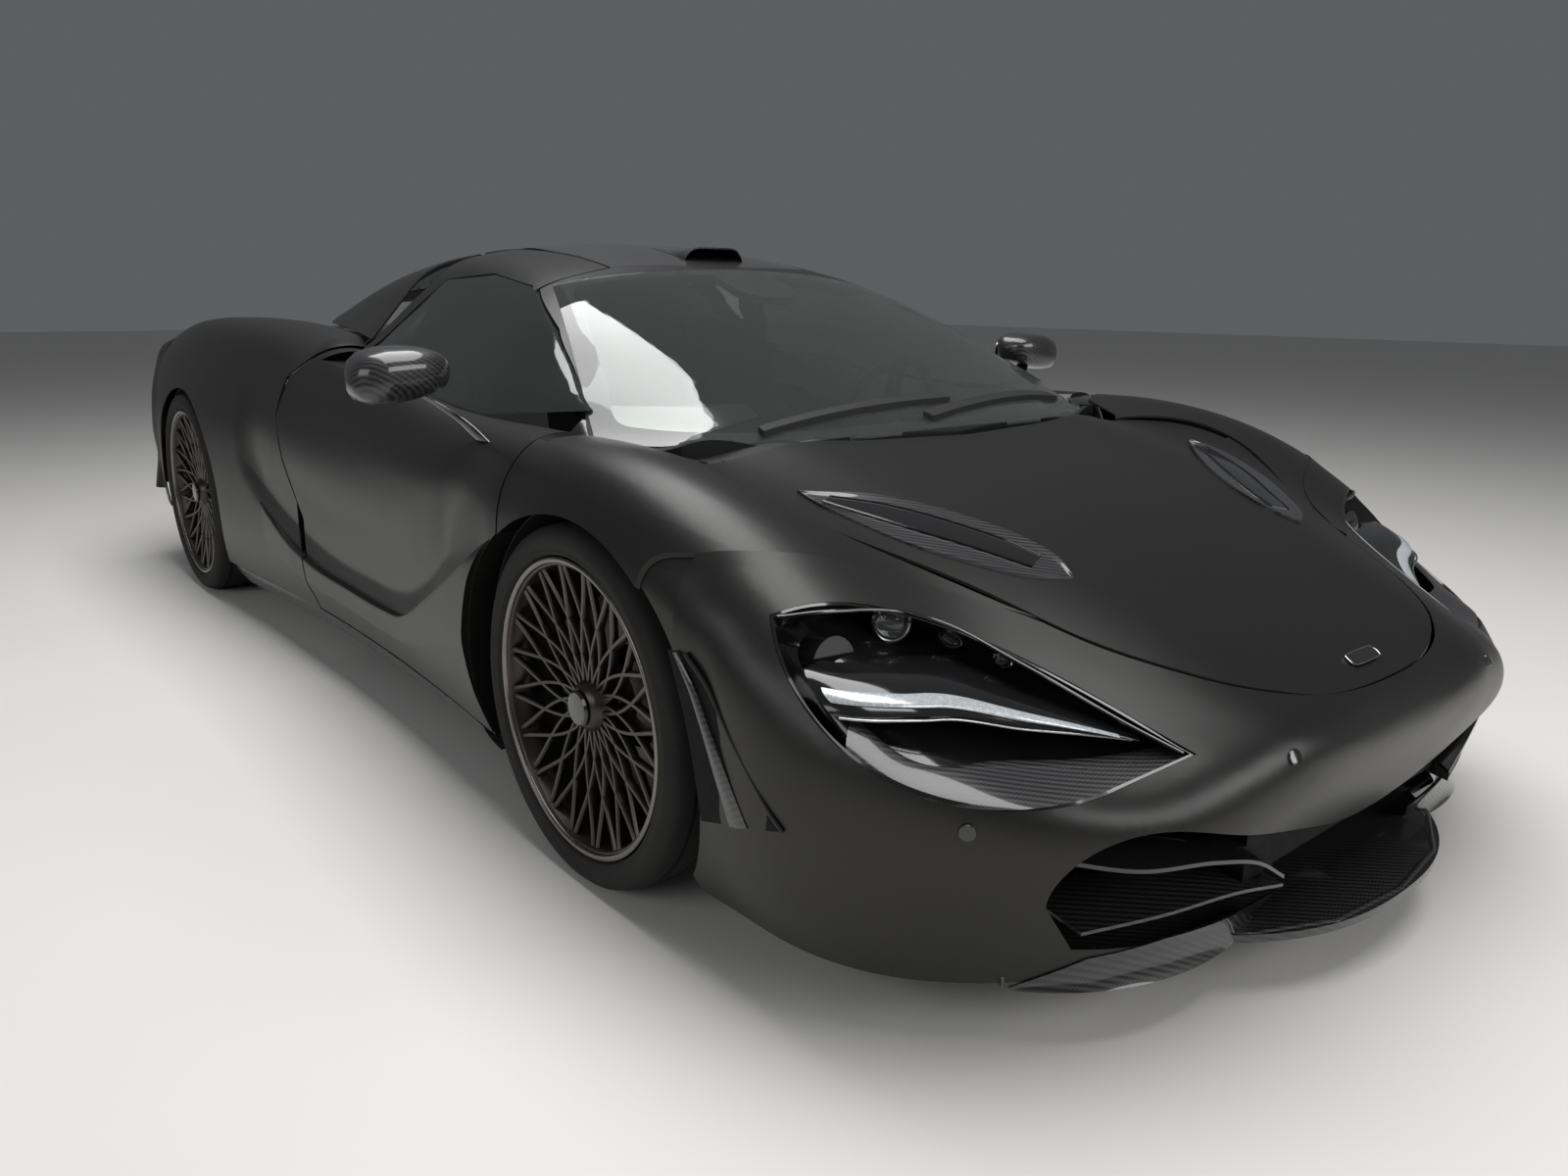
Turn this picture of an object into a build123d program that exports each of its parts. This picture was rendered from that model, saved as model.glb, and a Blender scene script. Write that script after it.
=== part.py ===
"""Mid-engined supercar: an assembly of separate named pieces, in millimetres.

+Z is up, the nose points along -Y, +X is the car's left, and the ground is Z = 0.
The body's outer form is one smooth function, body_form(x, y, z), below zero inside the body, made from
a few hand-drawn feature curves: centre line, fender crown, plan width, nose and tail lean. Every skin
panel is a loft through ribs that lie on level sets of that form, trimmed by its own shut lines.
"""

from build123d import *
from math import atan2, cos, degrees, hypot, pi, radians, sin, tan
import os

import numpy as np

os.makedirs("parts", exist_ok=True)

# ---------------------------------------------------------------- driving dimensions
FRONT_AXLE_Y = -1227.0
WHEELBASE = 2670.0
REAR_AXLE_Y = FRONT_AXLE_Y + WHEELBASE
FRONT_TRACK = 1640.0
REAR_TRACK = 1606.0
FRONT_TYRE_R = 328.0
REAR_TYRE_R = 345.0
FRONT_TYRE_W = 242.0
REAR_TYRE_W = 300.0
FRONT_RIM_R = 268.0
REAR_RIM_R = 283.0
AXLE_Z_FRONT = FRONT_TYRE_R
AXLE_Z_REAR = REAR_TYRE_R

SKIN = 5.0            # thickness of an outer skin panel
DOOR_DEPTH = 95.0     # whole thickness of a door
FRAME_DEPTH = 38.0    # thickness of the cabin frame round the glass
GLASS = 5.0           # thickness of a pane
SEAT_GAP = 0.3        # gap where one fixed piece seats on another
TRIM_GAP = 0.8        # gap between two skins trimmed along one line
SHUT_GAP = 6.0        # gap round a piece that opens

FLOOR_Z = 105.0       # underside of the tub
SPLITTER_Z = 98.0     # underside of the splitter
SPLITTER_T = 13.0
FLOOR_T = 22.0
SPOKES = 20


# ---------------------------------------------------------------- feature curves
def curve(*points):
    """A smooth curve y -> value through the points that never overshoots them."""
    ys = np.array([p[0] for p in points], float)
    vs = np.array([p[1] for p in points], float)
    step = np.diff(ys)
    slope = np.diff(vs) / step
    tangent = np.zeros(len(ys))
    tangent[0], tangent[-1] = slope[0], slope[-1]
    tangent[1:-1] = (slope[:-1] * step[1:] + slope[1:] * step[:-1]) / (step[:-1] + step[1:])

    def value(y):
        y = np.asarray(y, float)
        i = np.clip(np.searchsorted(ys, y) - 1, 0, len(ys) - 2)
        t = np.clip((y - ys[i]) / step[i], 0, 1)
        inside = (
            (2 * t**3 - 3 * t**2 + 1) * vs[i]
            + (t**3 - 2 * t**2 + t) * tangent[i] * step[i]
            + (3 * t**2 - 2 * t**3) * vs[i + 1]
            + (t**3 - t**2) * tangent[i + 1] * step[i]
        )
        before = np.minimum(y - ys[0], 0) * tangent[0]
        after = np.maximum(y - ys[-1], 0) * tangent[-1]
        return inside + before + after

    return value


centre_z = curve((-2400, 395), (-2200, 458), (-2000, 547), (-1700, 656), (-1400, 730), (-1280, 755),
                 (-1000, 790), (-500, 815), (0, 840), (500, 870), (1000, 890), (1443, 895),
                 (1900, 885), (2288, 865))
crown_z = curve((-2300, 290), (-2100, 390), (-1960, 478), (-1806, 578), (-1684, 652), (-1557, 712),
                (-1452, 745), (-1287, 774), (-1016, 782), (-700, 772), (-400, 785), (0, 830),
                (300, 872), (700, 920), (1100, 948), (1443, 945), (1900, 892), (2288, 820))
crown_x = curve((-2300, 700), (-1900, 760), (-1600, 785), (-1227, 800), (-300, 790), (700, 800),
                (1443, 810), (2288, 760))
valley_depth = curve((-2050, 0), (-1800, 8), (-1500, 24), (-1227, 36), (-1000, 38), (-600, 18),
                     (0, 0), (2288, 0))
half_width = curve((-2300, 905), (-1900, 925), (-1600, 945), (-1227, 955), (-900, 944), (-500, 918),
                   (-100, 905), (300, 908), (700, 930), (1100, 955), (1443, 965), (1800, 952),
                   (2100, 915), (2288, 870))
side_inset = curve((60, 95), (130, 42), (220, 12), (330, 0), (450, 0), (560, 2), (650, 10),
                   (760, 40), (900, 110), (1000, 170))
nose_lean = curve((60, 110), (130, 78), (234, 42), (330, 8), (385, 0), (460, 14), (560, 60))
tail_lean = curve((100, -260), (200, -170), (330, -70), (450, -20), (600, -25), (760, -40),
                  (860, -25), (940, 0))
NOSE_Y = -2242.0
TAIL_Y = 2272.0

roof_z = curve((-1500, 640), (-1280, 755), (-1000, 886), (-700, 1012), (-450, 1104), (-200, 1154),
               (0, 1174), (250, 1176), (600, 1142), (1000, 1070), (1400, 992), (1800, 925), (2100, 880))
rail_x = curve((-1500, 900), (-1280, 850), (-1000, 762), (-700, 660), (-410, 560), (-200, 520),
               (100, 500), (500, 490), (900, 470), (1400, 430), (2100, 380))
rail_z = curve((-1500, 500), (-1280, 640), (-1000, 762), (-700, 930), (-410, 1050), (-200, 1090),
               (0, 1108), (300, 1105), (700, 1060), (1100, 990), (1500, 920), (2100, 820))
cabin_lean = curve((-1500, 0.55), (-1000, 0.7), (-400, 0.85), (200, 0.9), (800, 0.8), (2100, 0.7))


def soft_and(a, b, radius):
    """The greater of two signed fields, blended over a radius, so that their edge is rounded."""
    h = np.clip(0.5 + 0.5 * (a - b) / radius, 0, 1)
    return b + (a - b) * h + radius * h * (1 - h)


def top_z(x, y):
    """Height of the upper surface: centre line, valley and fender crown."""
    x = np.abs(x)
    across = x / crown_x(y)
    s = np.clip((across - 0.42) / 0.58, 0, 1)
    rise = (crown_z(y) - centre_z(y)) * s * s * (3 - 2 * s)
    valley = valley_depth(y) * np.exp(-(((across - 0.78) / 0.12) ** 2))
    fall = np.maximum(x - crown_x(y), 0) ** 2 / 330
    return centre_z(y) + rise - valley - fall


def body_form(x, y, z):
    x = np.abs(x)
    upper = z - top_z(x, y)
    side = x - (half_width(y) - side_inset(z))
    nose = NOSE_Y + 210 * (x / 800) ** 4.2 + nose_lean(z) - y
    tail = y - (TAIL_Y - 75 * (x / 800) ** 3 + tail_lean(z))
    return soft_and(soft_and(soft_and(upper, side, 70), nose, 60), tail, 50)


def cabin_form(x, y, z):
    x = np.abs(x)
    upper = z - (roof_z(y) - (roof_z(y) - rail_z(y)) * (x / rail_x(y)) ** 2.2)
    lean = cabin_lean(y)
    side = (x - (rail_x(y) + (rail_z(y) - z) * lean)) / np.sqrt(1 + lean**2)
    return soft_and(upper, side, 40)


def reach(form, origins, directions, level=0.0):
    """Points where rays from inside first come out through a level set of the form, by bisection."""
    origins, directions = np.atleast_2d(origins).astype(float), np.atleast_2d(directions).astype(float)
    near = np.zeros(len(directions))
    far = np.full(len(directions), 2600.0)
    for _ in range(24):
        middle = (near + far) / 2
        inside = form(*(origins + middle[:, None] * directions).T) < level
        near = np.where(inside, middle, near)
        far = np.where(inside, far, middle)
    return origins + near[:, None] * directions


# ---------------------------------------------------------------- ribs and lofts
def rib_angles(form, spot, outward, lower, upper, level=0.0):
    """Elevations seen from a spot inside, of the rib's two ends: ('z', height) or ('r', distance out)."""
    ends = []
    for kind, value in (lower, upper):
        if kind == "z":
            hit = reach(form, (spot[0], spot[1], value), outward, level)[0]
        else:
            base = np.array((spot[0], spot[1], spot[2] - 300)) + np.asarray(outward) * value
            hit = reach(form, base, (0, 0, 1), level)[0]
        run = float(np.dot(hit - spot, outward))
        ends.append(atan2(hit[2] - spot[2], run))
    return ends


def rib_face(plane, outer_points, inner_points):
    """Face between an outer and an inner spline, closed by a line at each end."""
    with BuildSketch(plane) as face:
        with BuildLine():
            outer = Spline(*outer_points)
            inner = Spline(*inner_points)
            Line(outer @ 0, inner @ 0)
            Line(outer @ 1, inner @ 1)
        make_face()
    return face.sketch


def rib(form, spot, outward, lower, upper, levels, count=9):
    """Closed rib face in the vertical plane through a spot: outer spline, inner spline and two ends."""
    spot, outward = np.asarray(spot, float), np.asarray(outward, float)
    low, high = rib_angles(form, spot, outward, lower, upper)
    angles = np.linspace(low, high, count)[:, None]
    rays = np.cos(angles) * outward + np.sin(angles) * np.array((0, 0, 1))
    lines = []
    for level in levels:
        hits = reach(form, spot, rays, level)
        lines.append([(float(hit @ outward), float(hit[2])) for hit in hits])
    plane = Plane(origin=tuple(spot - outward * np.dot(spot, outward) - (0, 0, spot[2])),
                  x_dir=tuple(outward), z_dir=(outward[1], -outward[0], 0))
    return rib_face(plane, *lines)


def side_loft(form, ys, lower, upper, levels, centre=(350, 420), count=9):
    """Half-body skin: ribs across the car at each y, from a lower end to an upper end."""
    ribs = []
    for y in ys:
        ends = [(kind, value - centre[0] if kind == "r" else value)
                for kind, value in (lower(y), upper(y))]
        ribs.append(rib(form, (centre[0], y, centre[1]), (1, 0, 0), *ends, levels, count))
    loft(ribs)


def fan_loft(form, axis_y, azimuths, lower, upper, levels, spot_z=330, count=9):
    """Wrap-round skin: ribs on planes that turn about a vertical line on the car's centre."""
    ribs = []
    for azimuth in azimuths:
        outward = (sin(radians(azimuth)), -cos(radians(azimuth)), 0)
        ribs.append(rib(form, (0, axis_y, spot_z), outward, lower(azimuth), upper(azimuth),
                        levels, count))
    loft(ribs)


def top_loft(form, ys, half, levels, count=11, base_z=300):
    """Skin across the whole car: ribs from -half(y) to +half(y), each hit from straight below."""
    ribs = []
    for y in ys:
        lines = []
        for level in levels:
            feet = np.array([(half(y) * t, y, base_z) for t in np.linspace(-1, 1, count)])
            hits = reach(form, feet, np.tile((0, 0, 1), (count, 1)), level)
            lines.append([(float(p[0]), float(p[2])) for p in hits])
        ribs.append(rib_face(Plane.XZ.offset(-y), *lines))
    loft(ribs)


# ---------------------------------------------------------------- shut lines and outlines
# Bonnet edge in plan, from the nose back to the foot of the windscreen.
BONNET_LINE = [(0, -2196), (200, -2178), (322, -2125), (400, -2050), (470, -1945), (530, -1810),
               (600, -1690), (680, -1560), (708, -1450), (700, -1320), (650, -1225)]
BONNET_REAR = (0, -1292)
# Line between fender and bumper in plan, from the bonnet out over the wheel arch.
FENDER_LINE = [(480, -1925), (560, -1800), (690, -1690), (829, -1634), (894, -1571), (925, -1500),
               (1000, -1430)]
FENDER_REAR_Y = -990.0
ARCH_FRONT = (396.0, 345.0)     # half length and height of the arch above the axle
ARCH_REAR = (402.0, 362.0)
FENDER_TIP = (480, -1925)

HEADLAMP_TIP = (478, -2145, 430)
HEADLAMP_TOP = [HEADLAMP_TIP, (560, -1925, 520), (754, -1753, 606), (880, -1712, 603)]
HEADLAMP_LOW = [(880, -1712, 603), (905, -1790, 525), (880, -1900, 442), (790, -2030, 400),
                (634, -2105, 397), HEADLAMP_TIP]
HEADLAMP_PLANE = Plane(origin=(720, -1930, 490), x_dir=(0.695, 0.719, 0), z_dir=(0.62, -0.6, 0.5))

DOOR_FRONT_Y = FENDER_REAR_Y + SHUT_GAP
DOOR_BASE_Z = 165.0
DOOR_SIDE = [(DOOR_FRONT_Y, 1300), (DOOR_FRONT_Y, DOOR_BASE_Z), (310, DOOR_BASE_Z), (300, 425),
             (430, 572), (495, 690), (470, 800), (300, 905), (185, 1060), (175, 1300)]
DOOR_PLAN = [(1250, -1100), (822, -1100), (822, -1005), (574, -432), (335, -398), (335, 700),
             (1250, 700)]
ROOF_SPINE = 335.0 - SHUT_GAP
WINDSCREEN_PLAN = [(0, -1262), (400, -1228), (620, -1135), (742, -1012), (512, -436), (250, -462),
                   (0, -470)]
SIDE_GLASS = [(-930, 812), (-640, 955), (-395, 1052), (-150, 1082), (95, 1068), (235, 905), (330, 852),
              (-200, 808), (-600, 782)]


def grown(points, amount):
    """The same closed outline with every side moved outward by an amount (inward if negative)."""
    p = np.array(points, float)
    if not amount:
        return [tuple(q) for q in p]
    before, after = p - np.roll(p, 1, axis=0), np.roll(p, -1, axis=0) - p
    before /= np.linalg.norm(before, axis=1)[:, None]
    after /= np.linalg.norm(after, axis=1)[:, None]
    x, y = p.T
    turn = np.sign(np.sum(x * np.roll(y, -1) - np.roll(x, -1) * y))
    normal = turn * np.column_stack((before[:, 1] + after[:, 1], -before[:, 0] - after[:, 0]))
    size = np.sum(normal**2, axis=1) / 2
    return [tuple(q) for q in p + normal * (amount / np.maximum(size, 0.6))[:, None]]


def outline_prism(plane, points, smooth, grow, depth, both=False):
    """Prism over a closed outline: splines through the point runs in smooth, straight lines elsewhere."""
    moved = grown(points, grow)
    with BuildPart() as prism:
        with BuildSketch(plane):
            with BuildLine():
                last = 0
                for first, end in smooth:
                    if first > last:
                        Polyline(*moved[last:first + 1])
                    Spline(*moved[first:end + 1])
                    last = end
                Polyline(*moved[last:], moved[0])
            make_face()
        extrude(amount=depth, both=both)
    return prism.part


def plan_prism(points, smooth=(), grow=0.0):
    """Upright prism over a closed outline in plan."""
    return outline_prism(Plane.XY.offset(-50), points, smooth, grow, 1500)


def side_prism(points, smooth=(), grow=0.0, start=0.0):
    """Prism along +X over a closed outline in (y, z)."""
    return outline_prism(Plane.YZ.offset(start), points, smooth, grow, 1300)


def mirrored(points):
    """A half outline given from the centre line outwards, with its mirror image put before it."""
    return [(-x, y) for x, y in reversed(points) if x] + list(points)


def arch_prism(axle_y, axle_z, size, inner=480, outer=1200):
    """Elliptic cylinder that opens a wheel arch on the left side."""
    with BuildPart() as prism:
        with BuildSketch(Plane.YZ.offset(inner)):
            with Locations((axle_y, axle_z)):
                Ellipse(*size)
        extrude(amount=outer - inner)
    return prism.part


def bonnet_prism(grow):
    edge = mirrored(BONNET_LINE)
    return plan_prism(edge + [BONNET_REAR], [(0, len(edge) - 1)], grow)


def fender_prism(grow):
    inner = [(1300, -1430), (1300, FENDER_REAR_Y), (850, FENDER_REAR_Y), (850, -1028), (735, -1065),
             (665, -1200), (400, -1400),
             (400, FENDER_LINE[0][1] + 1)]
    return plan_prism(FENDER_LINE + inner, [(0, len(FENDER_LINE) - 1)], grow)


def headlamp_prism(grow=0.0, depth=170):
    top = [HEADLAMP_PLANE.to_local_coords(Vector(*p)) for p in HEADLAMP_TOP]
    low = [HEADLAMP_PLANE.to_local_coords(Vector(*p)) for p in HEADLAMP_LOW[1:-1]]
    flat = [(p.X, p.Y) for p in top + low]
    last = len(top) - 1
    return outline_prism(HEADLAMP_PLANE, flat, [(0, last), (last, len(flat) - 1)], grow, depth, both=True)


def cut_both_sides(tool):
    """Cut a left-hand tool and its mirror image from the part being built."""
    add(tool, mode=Mode.SUBTRACT)
    mirror(tool, about=Plane.YZ, mode=Mode.SUBTRACT)


def save(piece, name):
    piece.part.label = name
    export_step(piece.part, f"parts/{name}.step")


def save_pair(piece, name):
    """Write the left piece and its mirror image on the right."""
    save(piece, name + "_left")
    with BuildPart() as right:
        mirror(piece.part, about=Plane.YZ)
    save(right, name + "_right")


# ---------------------------------------------------------------- front panels
def bonnet_half(y):
    return float(np.interp(y, [-2205, -2120, -2000, -1800, -1600, -1400],
                           [300, 420, 520, 620, 730, 760]))


BONNET_PIVOT = (-1190.0, 722.0)
BONNET_LUG_X = 575.0
with BuildPart() as bonnet:
    top_loft(body_form, [-2205, -2120, -2000, -1850, -1700, -1550, -1400, -1300, -1200],
             bonnet_half, (0, -SKIN))
    add(bonnet_prism(-SHUT_GAP / 2), mode=Mode.INTERSECT)
    for side in (-1, 1):
        with BuildSketch(Plane.YZ.offset(side * BONNET_LUG_X - 15)):
            with BuildLine():
                y, z = BONNET_PIVOT
                Polyline((y - 8, z - 4), (y - 4, z - 8), (y + 4, z - 8), (y + 8, z - 4), (y + 4, z + 6),
                         (y - 14, z + 14), (y - 44, z + 14), (y - 44, z + 8), close=True)
            make_face()
        extrude(amount=30)
save(bonnet, "bonnet")


INTAKE = [(0, 236), (150, 252), (300, 292), (473, 336), (590, 358), (690, 325), (704, 250), (650, 170),
          (500, 148), (0, 148)]


def intake_prism(grow=0.0):
    """Front intake on the left half, cut through the nose along Y."""
    return outline_prism(Plane.XZ.offset(1900), [(-1, 236)] + INTAKE[1:-1] + [(-1, 148)],
                         [(0, 6)], grow, 500)


def bumper_top(azimuth):
    return float(np.interp(abs(azimuth), [0, 20, 40, 50, 65, 75, 88],
                           [670, 670, 630, 590, 570, 640, 860]))


FAN_Y = -1500.0       # the nose ribs turn about an upright line here
NOSE_AZIMUTHS = [-86, -80, -72, -63, -54, -44, -35, -24, -12, 0, 12, 24, 35, 44, 54, 63, 72, 80, 86]


def nose_skin(levels):
    fan_loft(body_form, FAN_Y, NOSE_AZIMUTHS, lambda azimuth: ("z", SPLITTER_Z + SPLITTER_T + SEAT_GAP),
             lambda azimuth: ("r", bumper_top(azimuth)), levels)


with BuildPart() as front_bumper:
    nose_skin((0, -SKIN))
    add(bonnet_prism(SHUT_GAP / 2), mode=Mode.SUBTRACT)
    cut_both_sides(intake_prism())
    for tool in (fender_prism(TRIM_GAP), headlamp_prism(),
                 arch_prism(FRONT_AXLE_Y, AXLE_Z_FRONT, ARCH_FRONT)):
        cut_both_sides(tool)
save(front_bumper, "front_bumper")

with BuildPart() as front_fender:
    side_loft(body_form, [-1985, -1850, -1700, -1550, -1400, -1250, -1100, FENDER_REAR_Y],
              lambda y: ("z", 440), lambda y: ("r", bonnet_half(y) - 180), (0, -SKIN))
    add(fender_prism(0), mode=Mode.INTERSECT)
    add(bonnet_prism(SHUT_GAP / 2), mode=Mode.SUBTRACT)
    add(arch_prism(FRONT_AXLE_Y, AXLE_Z_FRONT, ARCH_FRONT), mode=Mode.SUBTRACT)
save_pair(front_fender, "front_fender")


def shell_dish(prism_outer, prism_inner, skin_loft, floor_levels, wall_levels):
    """Open dish in an outline: a wall that follows the outline and a floor parallel to the skin."""
    with BuildPart() as wall:
        skin_loft(wall_levels)
        add(prism_outer, mode=Mode.INTERSECT)
        add(prism_inner, mode=Mode.SUBTRACT)
    with BuildPart() as dish:
        skin_loft(floor_levels)
        add(prism_outer, mode=Mode.INTERSECT)
        add(wall.part)
    return dish.part


def lamp_skin(levels):
    fan_loft(body_form, FAN_Y, [26, 34, 42, 50, 58, 66, 74, 82], lambda azimuth: ("z", 340),
             lambda azimuth: ("r", bumper_top(azimuth) - 10), levels)


LAMP_DEPTH = 78.0
with BuildPart() as headlamp:
    add(shell_dish(headlamp_prism(-TRIM_GAP), headlamp_prism(-5.0), lamp_skin,
                   (-LAMP_DEPTH + 6, -LAMP_DEPTH), (-1, -LAMP_DEPTH + 1)))
    with BuildSketch(Plane(origin=(800, -1700, 520), x_dir=(1, 0, 0), z_dir=(0, -1, 0.12))):
        Circle(40)
    extrude(amount=62)
save_pair(headlamp, "headlamp")

# Splitter: a thin carbon plate under the bumper that bows forward between two kinks.
SPLITTER = [(0, -2270), (180, -2250), (320, -2185), (395, -2118), (500, -2118), (640, -2026),
            (720, -1960), (600, -1600), (500, -1345), (0, -1345)]
with BuildPart() as front_splitter:
    with BuildSketch(Plane.XY.offset(SPLITTER_Z)):
        with BuildLine():
            edge = mirrored(SPLITTER)
            bow = edge[5:12]
            Polyline(*edge[:6])
            Spline(*bow)
            Polyline(*edge[11:], edge[0])
        make_face()
    extrude(amount=SPLITTER_T)
save(front_splitter, "front_splitter")

# ---------------------------------------------------------------- cabin
def cabin_low(y):
    return float(np.interp(y, [-1276, -1000, -600, -200, 300, 700], [716, 762, 776, 800, 850, 880]))


CABIN_YS = [-1274, -1120, -980, -820, -640, -460, -300, -120, 80, 330]


def cabin_skin(levels, inner_x=0.0, ys=CABIN_YS, lower=cabin_low):
    side_loft(cabin_form, ys, lambda y: ("z", lower(y)), lambda y: ("r", inner_x), levels,
              centre=(0, 560), count=11)


def screen_prism(grow):
    half = WINDSCREEN_PLAN
    front = [(-x, y) for x, y in reversed(half[1:4])] + half[:4]
    back = half[4:] + [(-x, y) for x, y in reversed(half[4:6])]
    return plan_prism(front + back, [(0, 6), (7, 11)], grow)


ROOF_T = 4.0
DOOR_HEAD = [(726, -990), (1000, -990), (1000, -300), (566, -300), (566, -436)]
FRAME_PLAN = [(-640, -1150), (-420, -1236), (0, -1274), (420, -1236), (640, -1150), (752, -1035), (835, -1020), (835, 400),
              (-835, 400), (-835, -1020), (-752, -1035)]
ROOF_PLAN = [(-ROOF_SPINE + 4, -375), (0, -452), (ROOF_SPINE - 4, -375), (ROOF_SPINE - 4, 310),
             (-ROOF_SPINE + 4, 310)]


def roof_prism(grow=0.0):
    return plan_prism(ROOF_PLAN, [(0, 2)], grow)


SCREEN_YS = [-1274, -1120, -980, -820, -640, -460, -400]
ROOF_YS = [-500, -300, -120, 80, 320]


def screen_layer(levels, grow):
    """Layer of the cabin form inside the windscreen's outline."""
    with BuildPart() as layer:
        cabin_skin(levels, ys=SCREEN_YS)
        mirror(about=Plane.YZ)
        add(screen_prism(grow), mode=Mode.INTERSECT)
    return layer.part


def roof_layer(levels, grow):
    """Layer of the cabin form inside the roof panel's outline."""
    with BuildPart() as layer:
        cabin_skin(levels, ys=ROOF_YS)
        mirror(about=Plane.YZ)
        add(roof_prism(grow), mode=Mode.INTERSECT)
    return layer.part


POST_SIDE = [(-846, FLOOR_Z), (-846, 570), (-1050, 690), (-1050, cabin_low(-1050) - 0.5),
             (-996, cabin_low(-996) - 0.5), (-996, 640), (-800, 540), (-740, FLOOR_Z)]
TUB_HALF = 515.0      # half width of the footwell, between the front wheels
TUB_FRONT_Y = -1340.0
BULKHEAD_Y = 330.0
COWL_Z = 688.7
COWL_T = 17.0
with BuildPart() as cabin_frame:
    cabin_skin((0, -FRAME_DEPTH))
    mirror(about=Plane.YZ)
    add(plan_prism(FRAME_PLAN), mode=Mode.INTERSECT)
    add(screen_prism(-16), mode=Mode.SUBTRACT)
    cut_both_sides(plan_prism(DOOR_PLAN, grow=SHUT_GAP))
    cut_both_sides(side_prism(SIDE_GLASS, grow=SHUT_GAP, start=300))
    cut_both_sides(plan_prism(DOOR_HEAD))
    add(screen_layer((30, -GLASS - 2 * SEAT_GAP), 0), mode=Mode.SUBTRACT)
    add(roof_layer((30, -ROOF_T - 2 * SEAT_GAP), SEAT_GAP), mode=Mode.SUBTRACT)
save(cabin_frame, "cabin_frame")

# Tub: floor, sills, footwell walls, pillar posts, cowl bar and rear bulkhead.
with BuildPart() as monocoque:
    with BuildSketch(Plane.XY.offset(FLOOR_Z)):
        with BuildLine():
            Polyline((-TUB_HALF, TUB_FRONT_Y), (TUB_HALF, TUB_FRONT_Y), (TUB_HALF, -846), (690, -846),
                     (690, BULKHEAD_Y), (-690, BULKHEAD_Y), (-690, -846), (-TUB_HALF, -846), close=True)
        make_face()
    extrude(amount=FLOOR_T)
    with BuildSketch(Plane.XZ.offset(846)):
        with BuildLine():
            Polyline((640, FLOOR_Z), (780, FLOOR_Z), (780, 300), (720, 330), (640, 300), close=True)
        make_face()
    extrude(amount=-(846 + BULKHEAD_Y))
    with BuildSketch(Plane.YZ.offset(745)):
        with BuildLine():
            Polyline(*POST_SIDE, close=True)
        make_face()
    extrude(amount=55)
    mirror(about=Plane.YZ)
    with BuildSketch(Plane.XY.offset(FLOOR_Z)):
        with BuildLine():
            Polyline((-TUB_HALF, -800), (-TUB_HALF, TUB_FRONT_Y), (TUB_HALF, TUB_FRONT_Y),
                     (TUB_HALF, -800), (TUB_HALF - 16, -800), (TUB_HALF - 16, TUB_FRONT_Y + 16),
                     (-TUB_HALF + 16, TUB_FRONT_Y + 16), (-TUB_HALF + 16, -800), close=True)
        make_face()
    extrude(amount=470)
    with BuildSketch(Plane.XZ.offset(-BULKHEAD_Y)):
        with BuildLine():
            Polyline((-690, FLOOR_Z), (690, FLOOR_Z), (690, 330), (600, 700), (560, 900), (470, 1020),
                     (300, 1100), (-300, 1100), (-470, 1020), (-560, 900), (-600, 700), (-690, 330),
                     close=True)
        make_face()
    extrude(amount=22)
    with BuildSketch(Plane.XZ.offset(1250)):
        with Locations((0, COWL_Z + COWL_T / 2)):
            Rectangle(1240, COWL_T)
    extrude(amount=-30)
    with BuildSketch(Plane.XY.offset(COWL_Z)):
        with BuildLine():
            Polyline((600, -1250), (650, -1250), (800, -1050), (800, -1000), (745, -1000), (600, -1190),
                     close=True)
        make_face()
        mirror(about=Plane.YZ)
    extrude(amount=COWL_T)
    for side in (-1, 1):
        with BuildSketch(Plane.YZ.offset(side * (BONNET_LUG_X + 15 + SEAT_GAP))):
            with BuildLine():
                y, z = BONNET_PIVOT
                Polyline((y - 8, COWL_Z), (y + 8, COWL_Z), (y + 8, z), (y, z + 8), (y - 8, z), close=True)
            make_face()
        extrude(amount=side * 20)
save(monocoque, "monocoque")

with BuildPart() as windscreen:
    add(screen_layer((0, -GLASS), -SEAT_GAP))
save(windscreen, "windscreen")

# ---------------------------------------------------------------- doors
def door_inner_x(y):
    """Inner end of the lower door, just inside the foot of the side glass."""
    return float(np.interp(y, [-1000, -800, -400, 0, 500], [775, 745, 735, 720, 690]))


def door_upper():
    """The door's window frame and its share of the roof."""
    with BuildPart() as upper:
        cabin_skin((0, -32), inner_x=300, ys=[-1010, -860, -700, -540, -400, -250, -80, 100, 300, 490],
                   lower=lambda y: cabin_low(y) - 20)
        add(plan_prism(DOOR_PLAN), mode=Mode.INTERSECT)
    return upper.part


with BuildPart() as door:
    side_loft(body_form, [DOOR_FRONT_Y - 10, -850, -650, -400, -150, 100, 320, 505],
              lambda y: ("z", DOOR_BASE_Z - 5), lambda y: ("r", door_inner_x(y)), (0, -DOOR_DEPTH))
    add(door_upper())
    add(side_prism(DOOR_SIDE), mode=Mode.INTERSECT)
    add(side_prism(SIDE_GLASS, start=300), mode=Mode.SUBTRACT)
    add(arch_prism(FRONT_AXLE_Y, AXLE_Z_FRONT, (ARCH_FRONT[0] + 4, ARCH_FRONT[1] + 4)),
        mode=Mode.SUBTRACT)
save_pair(door, "door")

with BuildPart() as side_window:
    cabin_skin((-2, -2 - GLASS), inner_x=380, ys=[-980, -800, -600, -400, -200, 0, 200, 360],
               lower=lambda y: cabin_low(y) - 20)
    add(side_prism(SIDE_GLASS, grow=-SEAT_GAP, start=300), mode=Mode.INTERSECT)
save_pair(side_window, "side_window")

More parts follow.
